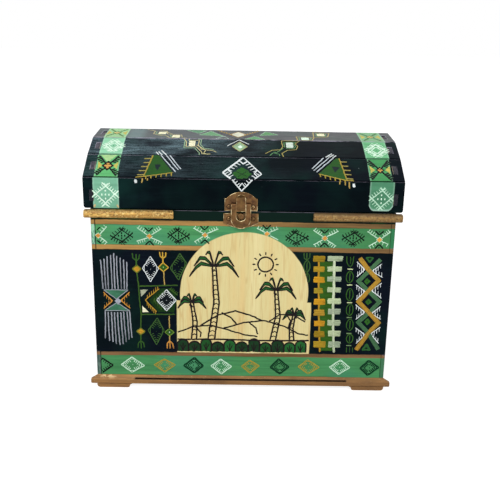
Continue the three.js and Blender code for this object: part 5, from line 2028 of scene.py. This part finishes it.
class CHEST_OT_motifs(Operator):
    """Paints the motifs on the front, round the sides and the back, and over the lid."""

    bl_idname = "chest.motifs"
    bl_label = "Paint the motifs"

    def execute(self, context):
        tools = stroke_tree(), stroke_paint("stroke_paint"), fill_paint("fill_paint")
        seed = context.scene.chest_sizes.brush_seed
        for name, body, shift, paint, faces in (
            ("front_bands", "body", 0, self.front_bands, ()),
            ("front_panels", "body", 0, self.front_panels, ()),
            ("arch_picture", "body", 1, self.arch_picture, ()),
            ("round_bands", "body", 2, self.round_bands, ()),
            ("lid_front", "lid", 3, self.half_lid, (board_face, low_face, high_face)),
            ("lid_back", "lid", 3, self.half_lid, (back_board_face, back_low_face, back_high_face)),
            ("lid_top", "lid", 4, self.lid_top, ()),
        ):
            brush = Brush(name, body, seed + shift)
            paint(brush, *faces)
            brush.done(*tools)
        return {"FINISHED"}

    def front_bands(self, brush):
        brush.on(front_face, BAND_GROUND)
        paint_low_band(brush)
        paint_high_band(brush)

    def front_panels(self, brush):
        brush.on(front_face, NIGHT_GROUND)
        paint_left_panel(brush)
        paint_right_panel(brush)

    def arch_picture(self, brush):
        paint_arch(brush.on(front_face, WOOD_GROUND))

    def round_bands(self, brush):
        for face, half, order in ((left_face, 84, 0), (back_face, 138, 1), (right_face, 84, 2)):
            paint_round_bands(brush.on(face, BAND_GROUND), half, order)
        for face, middle in ((left_face, 0.0), (right_face, 0.0), (back_face, -66.0), (back_face, 66.0)):
            paint_side_panel(brush.on(face, NIGHT_GROUND), middle)

    def half_lid(self, brush, board, low, high):
        brush.on(board, MINT_GROUND)
        stripe_board(brush, -128.8, MILK)
        # The right lozenge's duller white is painted shade.
        stripe_board(brush, 129.0, "B4D6C0")
        brush.on(low, MINT_GROUND)
        stripe_low(brush, -128.4)
        stripe_low(brush, 128.2)
        brush.on(high, MINT_GROUND)
        stripe_high(brush, -127.2, 17.0, 1.0)
        stripe_high(brush, 128.9, 16.6, 1.1)
        paint_board(brush.on(board, NIGHT_GROUND))
        paint_low_slat(brush.on(low, NIGHT_GROUND))
        paint_high_slat(brush.on(high, NIGHT_GROUND))

    def lid_top(self, brush):
        brush.on(top_face, MINT_GROUND)
        for x in (-129.0, 128.0):
            stripe_top(brush, x, TOP_WIDTH / 2)
        paint_top_slat(brush.on(top_face, NIGHT_GROUND), TOP_WIDTH / 2)


class CHEST_OT_strips(Operator):
    """Gilds the rails, the moulding and the feet."""

    bl_idname = "chest.strips"
    bl_label = "Gild the strips"

    def execute(self, context):
        paints = context.scene.chest_paints
        edge = context.scene.chest_sizes.strip_edge
        rail = gold_strip_paint("rail_gold", paints.rail_gold, "9A6F35", True)
        strip = gold_strip_paint("foot_gold", shade(paints.strip_gold, 0.72), "64452A")
        for side in ("left", "right"):
            dress(f"rail_{side}", f"rail_{side}_gilded", "body", "gold_paint", edge, [rail])
            for end in ("front", "back"):
                node = f"foot_{end}_{side}"
                dress(node, f"{node}_gilded", "body", "gold_paint", edge, [strip])
        dress("plinth_moulding", "plinth_moulding_gilded", "body", "gold_paint", edge, [strip])
        return {"FINISHED"}


class CHEST_OT_brass(Operator):
    """Finishes the latch, the hinges and their fasteners."""

    bl_idname = "chest.brass"
    bl_label = "Age the brass"

    def execute(self, context):
        sizes = context.scene.chest_sizes
        brass = aged_brass(context.scene.chest_paints)
        listed = frame["record"]["behaviour"]["bodies"]
        bodies = {node: body for body, nodes in listed.items() for node in nodes}
        for node, body in bodies.items():
            if node.startswith(("latch_", "hinge_")):
                dress(
                    node, f"{node}_aged", body, "aged_brass", sizes.metal_edge, [brass],
                    shortest=0.25 * MM,
                )
        rims = rim_tree()
        # The rims' brass is rubbed bright all along, with a painted highlight.
        rubbed_and_highlit = aged_brass(context.scene.chest_paints, "rubbed_brass", 0.75)
        for node in ("latch_upper_plate", "latch_lower_plate", "latch_tongue"):
            piece = drawn_by(
                rims, front_outline(node, sizes.rim_radius * RIM_SINK),
                f"{node}_outline", f"{node}_rim", Radius=sizes.rim_radius, Metal=rubbed_and_highlit,
            )
            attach(piece, bodies[node])
        return {"FINISHED"}


class CHEST_PT_tools(Panel):
    """Lists the steps that dress the chest."""

    bl_idname = "CHEST_PT_tools"
    bl_label = "Painted chest"
    bl_space_type = "VIEW_3D"
    bl_region_type = "UI"
    bl_category = "Chest"

    def draw(self, context):
        for group in (context.scene.chest_sizes, context.scene.chest_paints):
            for name in group.__annotations__:
                self.layout.prop(group, name)
        for step in STEPS:
            self.layout.operator(step.bl_idname)


STEPS = (
    CHEST_OT_stage, CHEST_OT_walls, CHEST_OT_lid, CHEST_OT_motifs, CHEST_OT_strips, CHEST_OT_brass,
)
CLASSES = (ChestSizes, ChestPaints, *STEPS, CHEST_PT_tools)


def register():
    for part in CLASSES:
        bpy.utils.register_class(part)
    bpy.types.Scene.chest_sizes = PointerProperty(type=ChestSizes)
    bpy.types.Scene.chest_paints = PointerProperty(type=ChestPaints)


def unregister():
    del bpy.types.Scene.chest_paints
    del bpy.types.Scene.chest_sizes
    for part in reversed(CLASSES):
        bpy.utils.unregister_class(part)


def main():
    register()
    for step in STEPS:
        group, _, name = step.bl_idname.partition(".")
        getattr(getattr(bpy.ops, group), name)()


if __name__ == "__main__":
    main()
